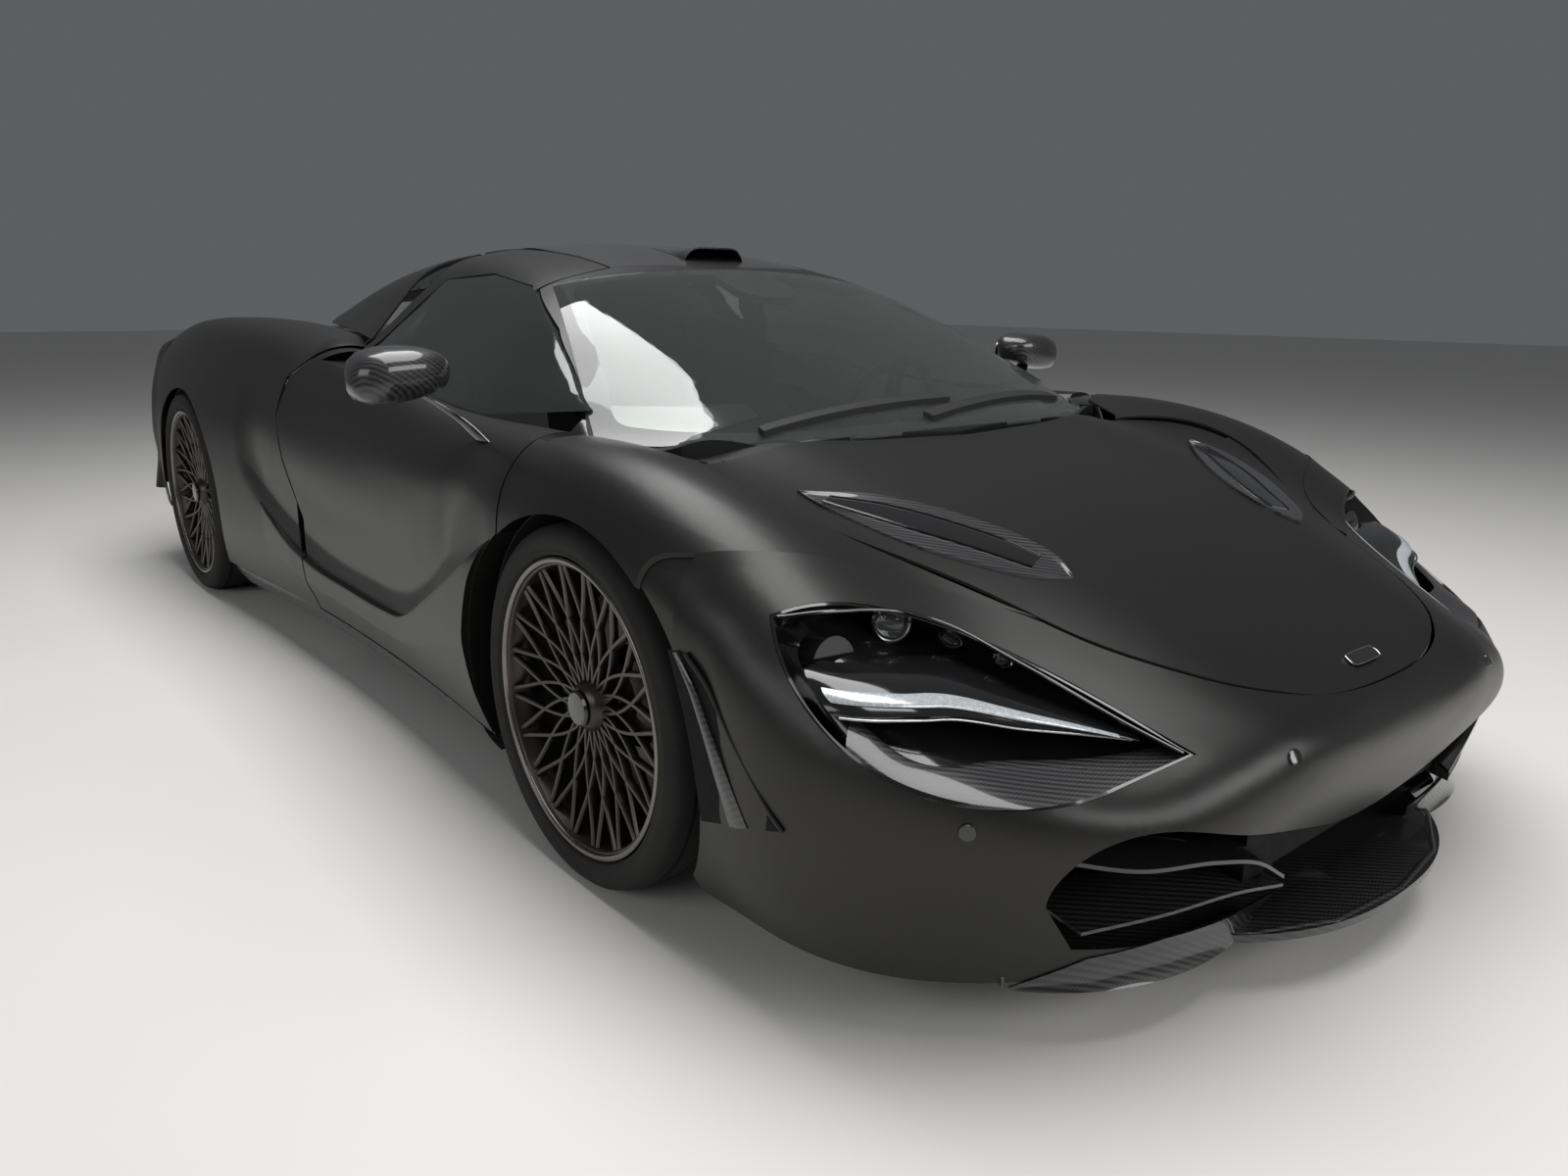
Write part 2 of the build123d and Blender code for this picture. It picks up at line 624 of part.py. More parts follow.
# ---------------------------------------------------------------- roof, quarters, deck
with BuildPart() as roof_panel:
    add(roof_layer((0, -ROOF_T), 0))
save(roof_panel, "roof_panel")

QUARTER_BASE_Z = DOOR_BASE_Z - SHUT_GAP + SEAT_GAP
QUARTER_SIDE = [(310 + SHUT_GAP, QUARTER_BASE_Z), (300 + SHUT_GAP, 423), (430 + SHUT_GAP, 570),
                (495 + SHUT_GAP + 1, 690), (470 + SHUT_GAP + 2, 803), (300 + SHUT_GAP + 3, 912)]
DECK_HALF = 560.0


def quarter_inner(y):
    return float(np.interp(y, [300, 700, 2150], [690, DECK_HALF - 15, DECK_HALF - 15]))


TAIL_START_Y = 1900.0
QUARTER_SIDE += [(TAIL_START_Y - SEAT_GAP, 1100), (TAIL_START_Y - SEAT_GAP, QUARTER_BASE_Z)]
with BuildPart() as rear_quarter:
    side_loft(body_form, [345, 520, 750, 1000, 1250, 1500, 1750, TAIL_START_Y + 10],
              lambda y: ("z", float(np.interp(y, [1300, 1850], [QUARTER_BASE_Z - 4, 250]))),
              lambda y: ("r", quarter_inner(y)), (0, -SKIN))
    add(side_prism(QUARTER_SIDE, start=DECK_HALF + SEAT_GAP), mode=Mode.INTERSECT)
    add(arch_prism(REAR_AXLE_Y, AXLE_Z_REAR, ARCH_REAR), mode=Mode.SUBTRACT)
save_pair(rear_quarter, "rear_quarter")


WING_PLAN = [(-560, 1985), (560, 1985), (600, 2030), (540, 2150), (330, 2196), (-330, 2196),
             (-540, 2150), (-600, 2030)]
WING_PIVOT = (1972.0, 858.0)


def fascia_top(azimuth):
    """Inner end of the tail skin, just inside the edge of the wing's bay."""
    return float(np.interp(abs(azimuth - 180), [0, 18, 34, 48, 62, 76, 90],
                           [285, 300, 350, 440, 515, 575, DECK_HALF - 15]))


TAIL_AZIMUTHS = [90, 97, 106, 118, 132, 146, 162, 180, 198, 214, 228, 242, 254, 263, 270]


def tail_skin(levels):
    fan_loft(body_form, TAIL_START_Y, TAIL_AZIMUTHS, lambda azimuth: ("z", 300),
             lambda azimuth: ("r", fascia_top(azimuth)), levels, spot_z=600)


with BuildPart() as rear_fascia:
    tail_skin((0, -SKIN))
    add(plan_prism(WING_PLAN, grow=12), mode=Mode.SUBTRACT)
    add(plan_prism([(-DECK_HALF, 1800), (DECK_HALF, 1800), (DECK_HALF, 2060), (-DECK_HALF, 2060)],
                   grow=SEAT_GAP), mode=Mode.SUBTRACT)
    with BuildSketch(Plane.XZ.offset(-2400)):
        with Locations((0, 640)):
            RectangleRounded(1180, 210, 60)
    extrude(amount=500, mode=Mode.SUBTRACT)
save(rear_fascia, "rear_fascia")

with BuildPart() as engine_deck:
    top_loft(body_form, [632, 850, 1100, 1400, 1700, WING_PLAN[0][1] - 12],
             lambda y: DECK_HALF + 20, (0, -SKIN))
    add(plan_prism([(-DECK_HALF, 600), (DECK_HALF, 600), (DECK_HALF, 2000), (-DECK_HALF, 2000)]),
        mode=Mode.INTERSECT)
save(engine_deck, "engine_deck")

# Rear canopy: the skin behind the cabin that runs down to the deck, and the glass let into it.
CANOPY_YS = [BULKHEAD_Y + SEAT_GAP, 500, 700, 900, 1100, 1300]
REAR_GLASS = [(-300, 430), (300, 430), (330, 520), (290, 1050), (-290, 1050), (-330, 520)]


def canopy_skin(levels):
    cabin_skin(levels, ys=CANOPY_YS, lower=lambda y: float(np.interp(y, [330, 600, 900, 1300], [906, 921, 923, 926])))
    mirror(about=Plane.YZ)


with BuildPart() as rear_canopy:
    canopy_skin((0, -SKIN))
    add(plan_prism(REAR_GLASS), mode=Mode.SUBTRACT)
save(rear_canopy, "rear_canopy")

with BuildPart() as rear_window:
    canopy_skin((-0.5, -GLASS + 0.5))
    add(plan_prism(REAR_GLASS, grow=-SEAT_GAP), mode=Mode.INTERSECT)
save(rear_window, "rear_window")

with BuildPart() as rear_wing:
    with BuildSketch(Plane.YZ.offset(-700)):
        with BuildLine():
            upper = Spline((1985, 868), (2010, 884), (2090, 888), (2196, 880))
            lower = Spline((2196, 874), (2090, 868), (2010, 862), (1985, 858))
            Line(upper @ 1, lower @ 0)
            Line(lower @ 1, upper @ 0)
        make_face()
    extrude(amount=1400)
    add(plan_prism(WING_PLAN), mode=Mode.INTERSECT)
    for x in (-360, 330):
        with BuildSketch(Plane.YZ.offset(x)):
            with Locations(WING_PIVOT):
                Circle(8)
            with Locations((WING_PIVOT[0] + 10, WING_PIVOT[1] + 4)):
                Rectangle(20, 8)
        extrude(amount=30)
save(rear_wing, "rear_wing")

with BuildPart() as rear_diffuser:
    with BuildSketch(Plane.YZ.offset(-640)):
        with BuildLine():
            Polyline((360, FLOOR_Z), (1750, FLOOR_Z), (2170, 280), (2170, 286), (1748, FLOOR_Z + 6),
                     (360, FLOOR_Z + 6), close=True)
        make_face()
    extrude(amount=1280)
    for x in (-460, -230, 227, 457):
        with BuildSketch(Plane.YZ.offset(x)):
            with BuildLine():
                Polyline((1760, FLOOR_Z + 4), (2165, 282), (2150, 205), (1900, 112), close=True)
            make_face()
        extrude(amount=4)
save(rear_diffuser, "rear_diffuser")

EXHAUST_X = 120.0
TIP_END_Y = 2270.6
with BuildPart() as exhaust_tips:
    with BuildSketch(Plane.XZ.offset(-1760)):
        with Locations((-EXHAUST_X, 640), (EXHAUST_X, 640)):
            Circle(52)
            Circle(48, mode=Mode.SUBTRACT)
    extrude(amount=1760 - TIP_END_Y)
    with BuildSketch(Plane.XZ.offset(-1700)):
        with Locations((0, 640)):
            Rectangle(740, 2 * (640 - 525 - SEAT_GAP))
    extrude(amount=-60)
save(exhaust_tips, "exhaust_tips")

with BuildPart() as lamp_strips:
    for start, turn in ((108, 1), (252, -1)):
        fan_loft(body_form, TAIL_START_Y, [start + turn * k for k in (0, 10, 20, 30, 42)],
                 lambda azimuth: ("z", 752), lambda azimuth: ("z", 764), (10, -2), spot_z=700, count=3)
    add(rear_fascia.part, mode=Mode.SUBTRACT)
with BuildPart() as tail_lamps:
    for strip in lamp_strips.solids().sort_by(SortBy.VOLUME)[-2:]:
        add(strip)
save(tail_lamps, "tail_lamps")

# ---------------------------------------------------------------- wheels
def tyre_profile(radius, rim_radius, width):
    """Half-section of a low-profile tyre: bead, bulged wall, rounded shoulder and flat tread."""
    half = width / 2
    bulge = rim_radius + (radius - rim_radius) * 0.45
    wall = [(rim_radius + 1, half - 24), (rim_radius + 10, half - 8), (bulge, half),
            (radius - 14, half - 8), (radius - 4, half - 22), (radius, half - 40)]
    mirrored = [(r, -x) for r, x in reversed(wall)]
    bore = [(rim_radius + 1, -half + 40), (rim_radius + 14, -half + 40), (rim_radius + 14, half - 40),
            (rim_radius + 1, half - 40)]
    return wall + mirrored + bore


def wheel_plane(centre):
    """Plane through a wheel's centre whose x runs up and whose y runs out along +X."""
    return Plane(origin=centre, x_dir=(0, 0, 1), z_dir=(0, 1, 0))


def make_tyre(centre, radius, rim_radius, width):
    with BuildPart() as tyre:
        with BuildSketch(wheel_plane(centre)):
            with BuildLine():
                Polyline(*tyre_profile(radius, rim_radius, width), close=True)
            make_face()
        revolve(axis=Axis(centre, (1, 0, 0)))
    return tyre


HUB_R = 34.0
DISC_R = 195.0
DISC_T = 30.0


def make_rim(centre, rim_radius, width):
    """One-piece wheel: barrel, lip, split spokes and hub, with the brake disc bolted behind it."""
    half = width / 2
    face = half - 6
    well = rim_radius - 22
    barrel = [(rim_radius, half - 26), (rim_radius, half - 40), (well, half - 62), (well, -half + 50),
              (rim_radius, -half + 30), (rim_radius, -half + 16), (rim_radius - 6, -half + 16),
              (well - 7, -half + 44), (well - 7, half - 56), (rim_radius - 14, half - 20),
              (rim_radius - 6, half - 12), (rim_radius, half - 12)]
    hub = [(0, face - 20), (34, face - 20), (40, face - 34), (86, face - 52), (86, face - 74),
           (62, face - 84), (62, face - 118), (DISC_R, face - 118), (DISC_R, face - 118 - DISC_T),
           (0, face - 118 - DISC_T)]
    with BuildPart() as rim:
        with BuildSketch(wheel_plane(centre)):
            with BuildLine():
                Polyline(*barrel, close=True)
            make_face()
            with BuildLine():
                Polyline(*hub, close=True)
            make_face()
        revolve(axis=Axis(centre, (1, 0, 0)))
        x, y, z = centre
        for k in range(SPOKES):
            turn = 2 * pi * k / SPOKES
            with BuildSketch(Plane(origin=(x + face - 52, y, z), x_dir=(0, cos(turn), sin(turn)),
                                   z_dir=(1, 0, 0))):
                with BuildLine():
                    Polyline((60, -5), (150, -6), (rim_radius - 12, -34), (rim_radius - 12, -24),
                             (165, 0), (rim_radius - 12, 24), (rim_radius - 12, 34), (150, 6), (60, 5),
                             close=True)
                make_face()
            extrude(amount=24)
    return rim


# ---------------------------------------------------------------- knuckles and suspension
KNUCKLE_T = 30.0
FRONT_DISC_BACK = FRONT_TRACK / 2 + FRONT_TYRE_W / 2 - 6 - 118 - DISC_T
REAR_DISC_BACK = REAR_TRACK / 2 + REAR_TYRE_W / 2 - 6 - 118 - DISC_T
KINGPIN_X = FRONT_DISC_BACK - 14 - KNUCKLE_T / 2
PIN_R = 12.0
EYE_LOW_Z = AXLE_Z_FRONT - 130
EYE_TOP_Z = AXLE_Z_FRONT + 150


def make_knuckle():
    """Front upright: hub carrier with an upper and a lower ball-joint eye."""
    with BuildPart() as knuckle:
        with BuildSketch(Plane.YZ.offset(FRONT_DISC_BACK - SEAT_GAP)):
            with Locations((FRONT_AXLE_Y, AXLE_Z_FRONT)):
                Circle(58)
        extrude(amount=-(14 + KNUCKLE_T - SEAT_GAP))
        with BuildSketch(Plane.YZ.offset(KINGPIN_X - KNUCKLE_T / 2)):
            with BuildLine():
                Polyline((FRONT_AXLE_Y - 22, EYE_TOP_Z), (FRONT_AXLE_Y + 22, EYE_TOP_Z),
                         (FRONT_AXLE_Y + 50, AXLE_Z_FRONT), (FRONT_AXLE_Y + 22, EYE_LOW_Z),
                         (FRONT_AXLE_Y - 22, EYE_LOW_Z), (FRONT_AXLE_Y - 50, AXLE_Z_FRONT), close=True)
            make_face()
        extrude(amount=KNUCKLE_T)
    return knuckle


def wishbone_sketch(inner_x, eye_x, axle_y, z, spread):
    """Plan of an A-arm: two legs from the chassis to one outer eye."""
    with BuildSketch(Plane.XY.offset(z)) as arm:
        with BuildLine():
            Polyline((inner_x, axle_y - spread), (eye_x + 16, axle_y - 14), (eye_x + 16, axle_y + 14),
                     (inner_x, axle_y + spread), (inner_x, axle_y + spread - 34), (eye_x - 26, axle_y),
                     (inner_x, axle_y - spread + 34), close=True)
        make_face()
    return arm.sketch


ARM_T = 13.0
with BuildPart() as front_wishbones:
    for z, pin_z in ((EYE_LOW_Z - 5 - ARM_T, EYE_LOW_Z - 5), (EYE_TOP_Z + 5, EYE_TOP_Z + SEAT_GAP)):
        extrude(wishbone_sketch(TUB_HALF + SEAT_GAP, KINGPIN_X, FRONT_AXLE_Y, z, 120), amount=ARM_T)
        with BuildSketch(Plane.XY.offset(pin_z)):
            with Locations((KINGPIN_X, FRONT_AXLE_Y)):
                Circle(PIN_R)
        extrude(amount=5 - SEAT_GAP)
    mirror(about=Plane.YZ)
save(front_wishbones, "front_wishbones")

SUBFRAME_X = 400.0
ENGINE_HALF = 280.0
GEARBOX_HALF = 170.0
with BuildPart() as rear_suspension:
    with BuildSketch(Plane.YZ.offset(REAR_DISC_BACK - SEAT_GAP)):
        with Locations((REAR_AXLE_Y, AXLE_Z_REAR)):
            Circle(60)
    extrude(amount=-44)
    with BuildSketch(Plane.YZ.offset(REAR_DISC_BACK - 44)):
        with Locations((REAR_AXLE_Y, AXLE_Z_REAR)):
            RectangleRounded(90, 330, 20)
    extrude(amount=30)
    for z in (AXLE_Z_REAR - 150, AXLE_Z_REAR + 137):
        extrude(wishbone_sketch(SUBFRAME_X + SEAT_GAP, REAR_DISC_BACK - 30, REAR_AXLE_Y, z, 130),
                amount=ARM_T)
    with BuildSketch(Plane.YZ.offset(REAR_DISC_BACK - 30)):
        with Locations((REAR_AXLE_Y, AXLE_Z_REAR)):
            Circle(18)
    extrude(amount=-(REAR_DISC_BACK - 30 - GEARBOX_HALF - SEAT_GAP))
    mirror(about=Plane.YZ)
save(rear_suspension, "rear_suspension")

with BuildPart() as front_subframe:
    for y_end in (TUB_FRONT_Y - SEAT_GAP,):
        with BuildSketch(Plane.XZ.offset(-y_end)):
            with Locations((-340, 255), (340, 255)):
                Rectangle(60, 89)
        extrude(amount=2180 + y_end)
    fan_loft(body_form, FAN_Y, [-24, -12, 0, 12, 24], lambda azimuth: ("z", 352),
             lambda azimuth: ("z", 400), (-SKIN - 12, -70))
    with BuildSketch(Plane.XZ.offset(2120)):
        with Locations((0, 300)):
            Rectangle(740, 179)
    extrude(amount=55)
save(front_subframe, "front_subframe")

with BuildPart() as luggage_tub:
    with BuildSketch(Plane.YZ.offset(-410)):
        with BuildLine():
            Polyline((-1860, 300), (TUB_FRONT_Y - 20, 300), (TUB_FRONT_Y - 20, 640), (-1860, 500),
                     close=True)
        make_face()
    extrude(amount=820)
    offset(amount=-4, openings=luggage_tub.faces().sort_by(Axis.Z)[-1])
save(luggage_tub, "luggage_tub")

with BuildPart() as rear_subframe:
    for x in (-SUBFRAME_X, SUBFRAME_X - 55):
        for z, end_y in ((180, 1850), (470, 2080)):
            with BuildSketch(Plane.YZ.offset(x)):
                with BuildLine():
                    Polyline((BULKHEAD_Y + SEAT_GAP, z), (end_y, z), (end_y, z + 55),
                             (BULKHEAD_Y + SEAT_GAP, z + 55), close=True)
                make_face()
            extrude(amount=55)
    for y in (560, 1800):
        with BuildSketch(Plane.XZ.offset(-y)):
            with Locations((0, 352)):
                Rectangle(800, 345)
                Rectangle(690, 235, mode=Mode.SUBTRACT)
        extrude(amount=-40)
    fan_loft(body_form, TAIL_START_Y, [150, 165, 180, 195, 210], lambda azimuth: ("z", 440),
             lambda azimuth: ("z", 500), (-SKIN - 12, -70), spot_z=470)
    with BuildSketch(Plane.XZ.offset(-2060)):
        with Locations((0, 470)):
            Rectangle(800, 60)
    extrude(amount=-140)
    for x in (-330 + SEAT_GAP, 310 - SEAT_GAP):
        y, z = WING_PIVOT
        with BuildSketch(Plane.YZ.offset(x)):
            with BuildLine():
                Polyline((y - 10, 500), (y + 40, 500), (y + 8, z - 20), (y + 8, z), (y, z + 8), (y - 8, z),
                         close=True)
            make_face()
        extrude(amount=20)
    for x in (-SUBFRAME_X + 20, ENGINE_HALF + SEAT_GAP):
        with BuildSketch(Plane.YZ.offset(x)):
            with Locations((920, 208)):
                Rectangle(60, 40)
        extrude(amount=SUBFRAME_X - 20 - ENGINE_HALF - SEAT_GAP)
save(rear_subframe, "rear_subframe")

with BuildPart() as engine_block:
    for y, end_y, half, top in ((620, 1300, ENGINE_HALF, 620), (1300, 1690, GEARBOX_HALF, 500)):
        with BuildSketch(Plane.XZ.offset(-y)):
            with Locations((0, (150 + top) / 2)):
                Rectangle(2 * half, top - 150)
        extrude(amount=y - end_y)
save(engine_block, "engine_block")

# ---------------------------------------------------------------- wheel arch liners
LINER_FRONT = (374.0, 357.0)
LINER_REAR = (364.0, 362.0)
with BuildPart() as arch_liners:
    for axle_y, axle_z, size, inner_x, outer_x in (
        (FRONT_AXLE_Y, AXLE_Z_FRONT, LINER_FRONT, TUB_HALF + SEAT_GAP, 900),
        (REAR_AXLE_Y, AXLE_Z_REAR, LINER_REAR, 620, 925),
    ):
        a, b = size
        for start, depth, hole in ((inner_x, 3, 0), (inner_x, outer_x - inner_x, 1)):
            with BuildSketch(Plane.YZ.offset(start)):
                with Locations((axle_y, axle_z)):
                    Ellipse(a + 3, b + 3)
                    if hole:
                        Ellipse(a, b, mode=Mode.SUBTRACT)
                    else:
                        with Locations((0, -5)):
                            Rectangle(280, 350, mode=Mode.SUBTRACT)
                    low = axle_z - (200 if hole or inner_x < 600 else 111.3)
                    with Locations((0, -low - 200)):
                        Rectangle(2 * a + 40, 400, mode=Mode.SUBTRACT)
            extrude(amount=depth)
    mirror(about=Plane.YZ)
save(arch_liners, "arch_liners")

# ---------------------------------------------------------------- interior
SEAT_X = 380.0
def make_seat(x):
    """Bucket seat: its side outline, narrowed in the front view at the shoulders and head."""
    with BuildPart() as seat:
        with BuildSketch(Plane.YZ.offset(x - 240)):
            with BuildLine():
                Polyline((-520, 127.3), (-560, 320), (-180, 290), (-120, 330), (60, 955),
                         (135, 940), (60, 600), (20, 127.3), close=True)
            make_face()
        extrude(amount=480)
        with BuildSketch(Plane.XZ.offset(700)):
            with BuildLine():
                Polyline((x - 240, 127.3), (x + 240, 127.3), (x + 240, 620), (x + 150, 700),
                         (x + 120, 960), (x - 120, 960), (x - 150, 700), (x - 240, 620), close=True)
            make_face()
        extrude(amount=-1000, mode=Mode.INTERSECT)
    return seat.part


with BuildPart() as seats:
    for x in (-SEAT_X, SEAT_X):
        add(make_seat(x))
save(seats, "seats")

DASH_SIDE = [(-1130, 560), (-1130, 640), (-1000, 690), (-820, 712), (-770, 690), (-800, 600),
             (-900, 560)]
with BuildPart() as dashboard:
    for half, clip in ((TUB_HALF - 20, 0), (590, 1)):
        with BuildSketch(Plane.YZ.offset(-half)):
            with BuildLine():
                Polyline(*DASH_SIDE, close=True)
            make_face()
            if clip:
                with Locations((-1100, 650)):
                    Rectangle(520, 300, mode=Mode.SUBTRACT)
        extrude(amount=2 * half)
    with BuildSketch(Plane.YZ.offset(-90)):
        with BuildLine():
            Polyline((-860, 600), (-860, 127.3), (-150, 127.3), (-150, 360), (-500, 420), (-800, 600),
                     close=True)
        make_face()
    extrude(amount=180)
    with BuildSketch(Plane(origin=(SEAT_X, -830, 640), x_dir=(1, 0, 0), z_dir=(0, 0.94, 0.34))):
        Circle(26)
    extrude(amount=100)
save(dashboard, "dashboard")

COLUMN = Plane(origin=(SEAT_X, -830, 640), x_dir=(1, 0, 0), z_dir=(0, 0.94, 0.34))
WHEEL_REACH = 190.0
with BuildPart() as steering_wheel:
    with BuildSketch(COLUMN.offset(100 + SEAT_GAP)):
        Circle(22)
    extrude(amount=WHEEL_REACH - 100)
    with BuildSketch(COLUMN.offset(WHEEL_REACH - 10)):
        Circle(58)
        with Locations((-95, 0), (95, 0)):
            Rectangle(160, 34)
        with Locations((0, -95)):
            Rectangle(40, 160)
    extrude(amount=20)
    with BuildSketch(Plane(origin=COLUMN.from_local_coords(Vector(172, 0, WHEEL_REACH)),
                           x_dir=COLUMN.z_dir, z_dir=COLUMN.y_dir)):
        Circle(15)
    revolve(axis=Axis(COLUMN.origin, COLUMN.z_dir))
save(steering_wheel, "steering_wheel")

# ---------------------------------------------------------------- small outside pieces
WIPER_STRIPS = [[(-470, -1166), (-470, -1184), (70, -1172), (60, -1154)],
                [(-60, -1215), (-50, -1235), (520, -1125), (505, -1105)]]


def wiper_blade(strip):
    """Blade lying on the glass along a strip seen from above."""
    with BuildPart() as blade:
        cabin_skin((12, SEAT_GAP), ys=SCREEN_YS)
        mirror(about=Plane.YZ)
        add(plan_prism(strip), mode=Mode.INTERSECT)
    return blade.part


with BuildPart() as wipers:
    for strip in WIPER_STRIPS:
        add(wiper_blade(strip))
save(wipers, "wipers")

with BuildPart() as side_skirt:
    side_loft(body_form, [-800, -500, -100, 300, 700, 1035], lambda y: ("z", 96),
              lambda y: ("z", DOOR_BASE_Z - SHUT_GAP), (0, -28), centre=(350, 130), count=4)
    mirror(about=Plane.YZ)
save(side_skirt, "side_skirts")

with BuildPart() as mirror_housing:
    for x, y, z, width, height in ((890, -630, 885, 48, 34), (935, -648, 880, 62, 60),
                                   (1000, -655, 872, 62, 62), (1055, -662, 862, 46, 46),
                                   (1080, -664, 856, 18, 20)):
        with BuildSketch(Plane.YZ.offset(x)):
            with Locations((y, z)):
                Ellipse(width, height)
    loft()
    with BuildSketch(Plane.XY.offset(752)):
        with Locations((868, -770)):
            Rectangle(26, 90)
    with BuildSketch(Plane.XY.offset(845)):
        with Locations((925, -655)):
            Rectangle(26, 56)
    loft()
    add(door.part, mode=Mode.SUBTRACT)
save_pair(mirror_housing, "mirror")
for side, flip in (("left", False), ("right", True)):
    for end, centre, radius, rim_radius, width in (
        ("front", (FRONT_TRACK / 2, FRONT_AXLE_Y, AXLE_Z_FRONT), FRONT_TYRE_R, FRONT_RIM_R, FRONT_TYRE_W),
        ("rear", (REAR_TRACK / 2, REAR_AXLE_Y, AXLE_Z_REAR), REAR_TYRE_R, REAR_RIM_R, REAR_TYRE_W),
    ):
        for kind, piece in (("tyre", make_tyre(centre, radius, rim_radius, width)),
                            ("rim", make_rim(centre, rim_radius, width))):
            with BuildPart() as wheel_piece:
                if flip:
                    mirror(piece.part, about=Plane.YZ)
                else:
                    add(piece.part)
            save(wheel_piece, f"{end}_{kind}_{side}")
save_pair(make_knuckle(), "front_knuckle")
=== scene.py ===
# %% [markdown]
# # A low mid-engined sports coupe
# The car's solids come from the CAD model, each already in its place in metres.
# This script gives every one of them its finish, adds the small things that a CAD
# model leaves out, and sets up a camera, a pale floor and soft lamps.
# The nose points along -Y, +Z is up, and the car's own left is +X.

# %% The frame
from math import cos, pi, radians, sin

import bmesh
import bpy
import numpy as np
from mathutils import Matrix, Vector


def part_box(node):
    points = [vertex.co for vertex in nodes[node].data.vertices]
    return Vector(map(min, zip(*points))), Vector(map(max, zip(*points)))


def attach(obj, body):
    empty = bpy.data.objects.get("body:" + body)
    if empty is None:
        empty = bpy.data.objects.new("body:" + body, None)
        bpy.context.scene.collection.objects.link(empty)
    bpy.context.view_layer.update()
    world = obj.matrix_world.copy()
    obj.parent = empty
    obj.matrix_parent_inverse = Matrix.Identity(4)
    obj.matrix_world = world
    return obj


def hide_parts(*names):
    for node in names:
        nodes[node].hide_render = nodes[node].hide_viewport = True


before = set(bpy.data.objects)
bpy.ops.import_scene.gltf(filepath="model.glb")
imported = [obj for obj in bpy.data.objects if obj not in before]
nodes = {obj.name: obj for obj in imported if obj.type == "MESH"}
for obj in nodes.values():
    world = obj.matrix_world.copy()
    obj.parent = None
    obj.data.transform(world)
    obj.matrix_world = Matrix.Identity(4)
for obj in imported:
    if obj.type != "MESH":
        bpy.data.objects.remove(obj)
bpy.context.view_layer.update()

scene = bpy.context.scene

# %% [markdown]
# ## Camera
# The car is seen from a few steps off its right front corner with a wide lens, so the
# near wheel looms and the tail recedes. Angles could be typed into the camera's rotation,
# but three directions (right, up and back) are easier to reason about: a camera looks
# along its own -Z axis, and its matrix is made of just these three.

# %% Camera
CAMERA_AT = Vector((-1.829, -2.889, 1.037))
CAMERA_TURN = radians(-39.65)
CAMERA_TILT = radians(14.65)
CAMERA_ROLL = radians(0.52)
CAMERA_LENS = 25.8

back = Vector((sin(CAMERA_TURN) * cos(CAMERA_TILT), -cos(CAMERA_TURN) * cos(CAMERA_TILT), sin(CAMERA_TILT)))
level_right = (-back).cross(Vector((0, 0, 1))).normalized()
level_up = level_right.cross(-back)
right = cos(CAMERA_ROLL) * level_right + sin(CAMERA_ROLL) * level_up
up = -sin(CAMERA_ROLL) * level_right + cos(CAMERA_ROLL) * level_up

camera_data = bpy.data.cameras.new("camera")
camera_data.lens = CAMERA_LENS
camera_data.sensor_width = 36
camera = bpy.data.objects.new("camera", camera_data)
camera.matrix_world = Matrix.Translation(CAMERA_AT) @ Matrix((right, up, back)).transposed().to_4x4()
scene.collection.objects.link(camera)
scene.camera = camera
scene.view_settings.view_transform = "Standard"
print("camera", tuple(round(v, 2) for v in CAMERA_AT), "lens", CAMERA_LENS, "mm")

# %% [markdown]
# ## Writing shader maths
# Node graphs are hard to read when they are wired by hand. `Wire` wraps one socket, so
# that an expression such as `1 - mask * 0.5` adds the Math nodes it needs. Any other
# node comes from `Finish.node`, which takes the node's type, its settings and its inputs.

# %% Wires
class Wire:
    """One value in a material's node graph, with Python's operators."""

    def __init__(self, finish, socket):
        self.finish, self.socket = finish, socket

    def maths(self, operation, *others, first=None):
        """A Math node of this wire and the others; `first` is a number that goes before it."""
        values = ([first] if first is not None else []) + [self] + list(others)
        return self.finish.node("ShaderNodeMath", {"operation": operation}, *values)

    def __add__(self, other): return self.maths("ADD", other)
    def __radd__(self, other): return self.maths("ADD", other)
    def __sub__(self, other): return self.maths("SUBTRACT", other)
    def __rsub__(self, other): return self.maths("SUBTRACT", first=other)
    def __mul__(self, other): return self.maths("MULTIPLY", other)
    def __rmul__(self, other): return self.maths("MULTIPLY", other)
    def __truediv__(self, other): return self.maths("DIVIDE", other)
    def __mod__(self, other): return self.maths("FLOORED_MODULO", other)
    def __lt__(self, other): return self.maths("LESS_THAN", other)
    def __gt__(self, other): return self.maths("GREATER_THAN", other)
    def __abs__(self): return self.maths("ABSOLUTE")

    def floor(self):
        """The whole number at or below the value."""
        return self.maths("FLOOR")


print("operators:", [name for name in vars(Wire) if name[:2] == "__" and name[2:5] in ("add", "sub", "mul")])

# %% [markdown]
# ## Finishes
# A finish is one material with one Principled shader. `Finish` keeps its node tree, sets
# or wires the shader's inputs by their names, and offers the few helpers that every
# surface needs: noise, a mix of two colours, and a bump. All patterns read Object
# coordinates, because every piece's object sits at the car's own origin.

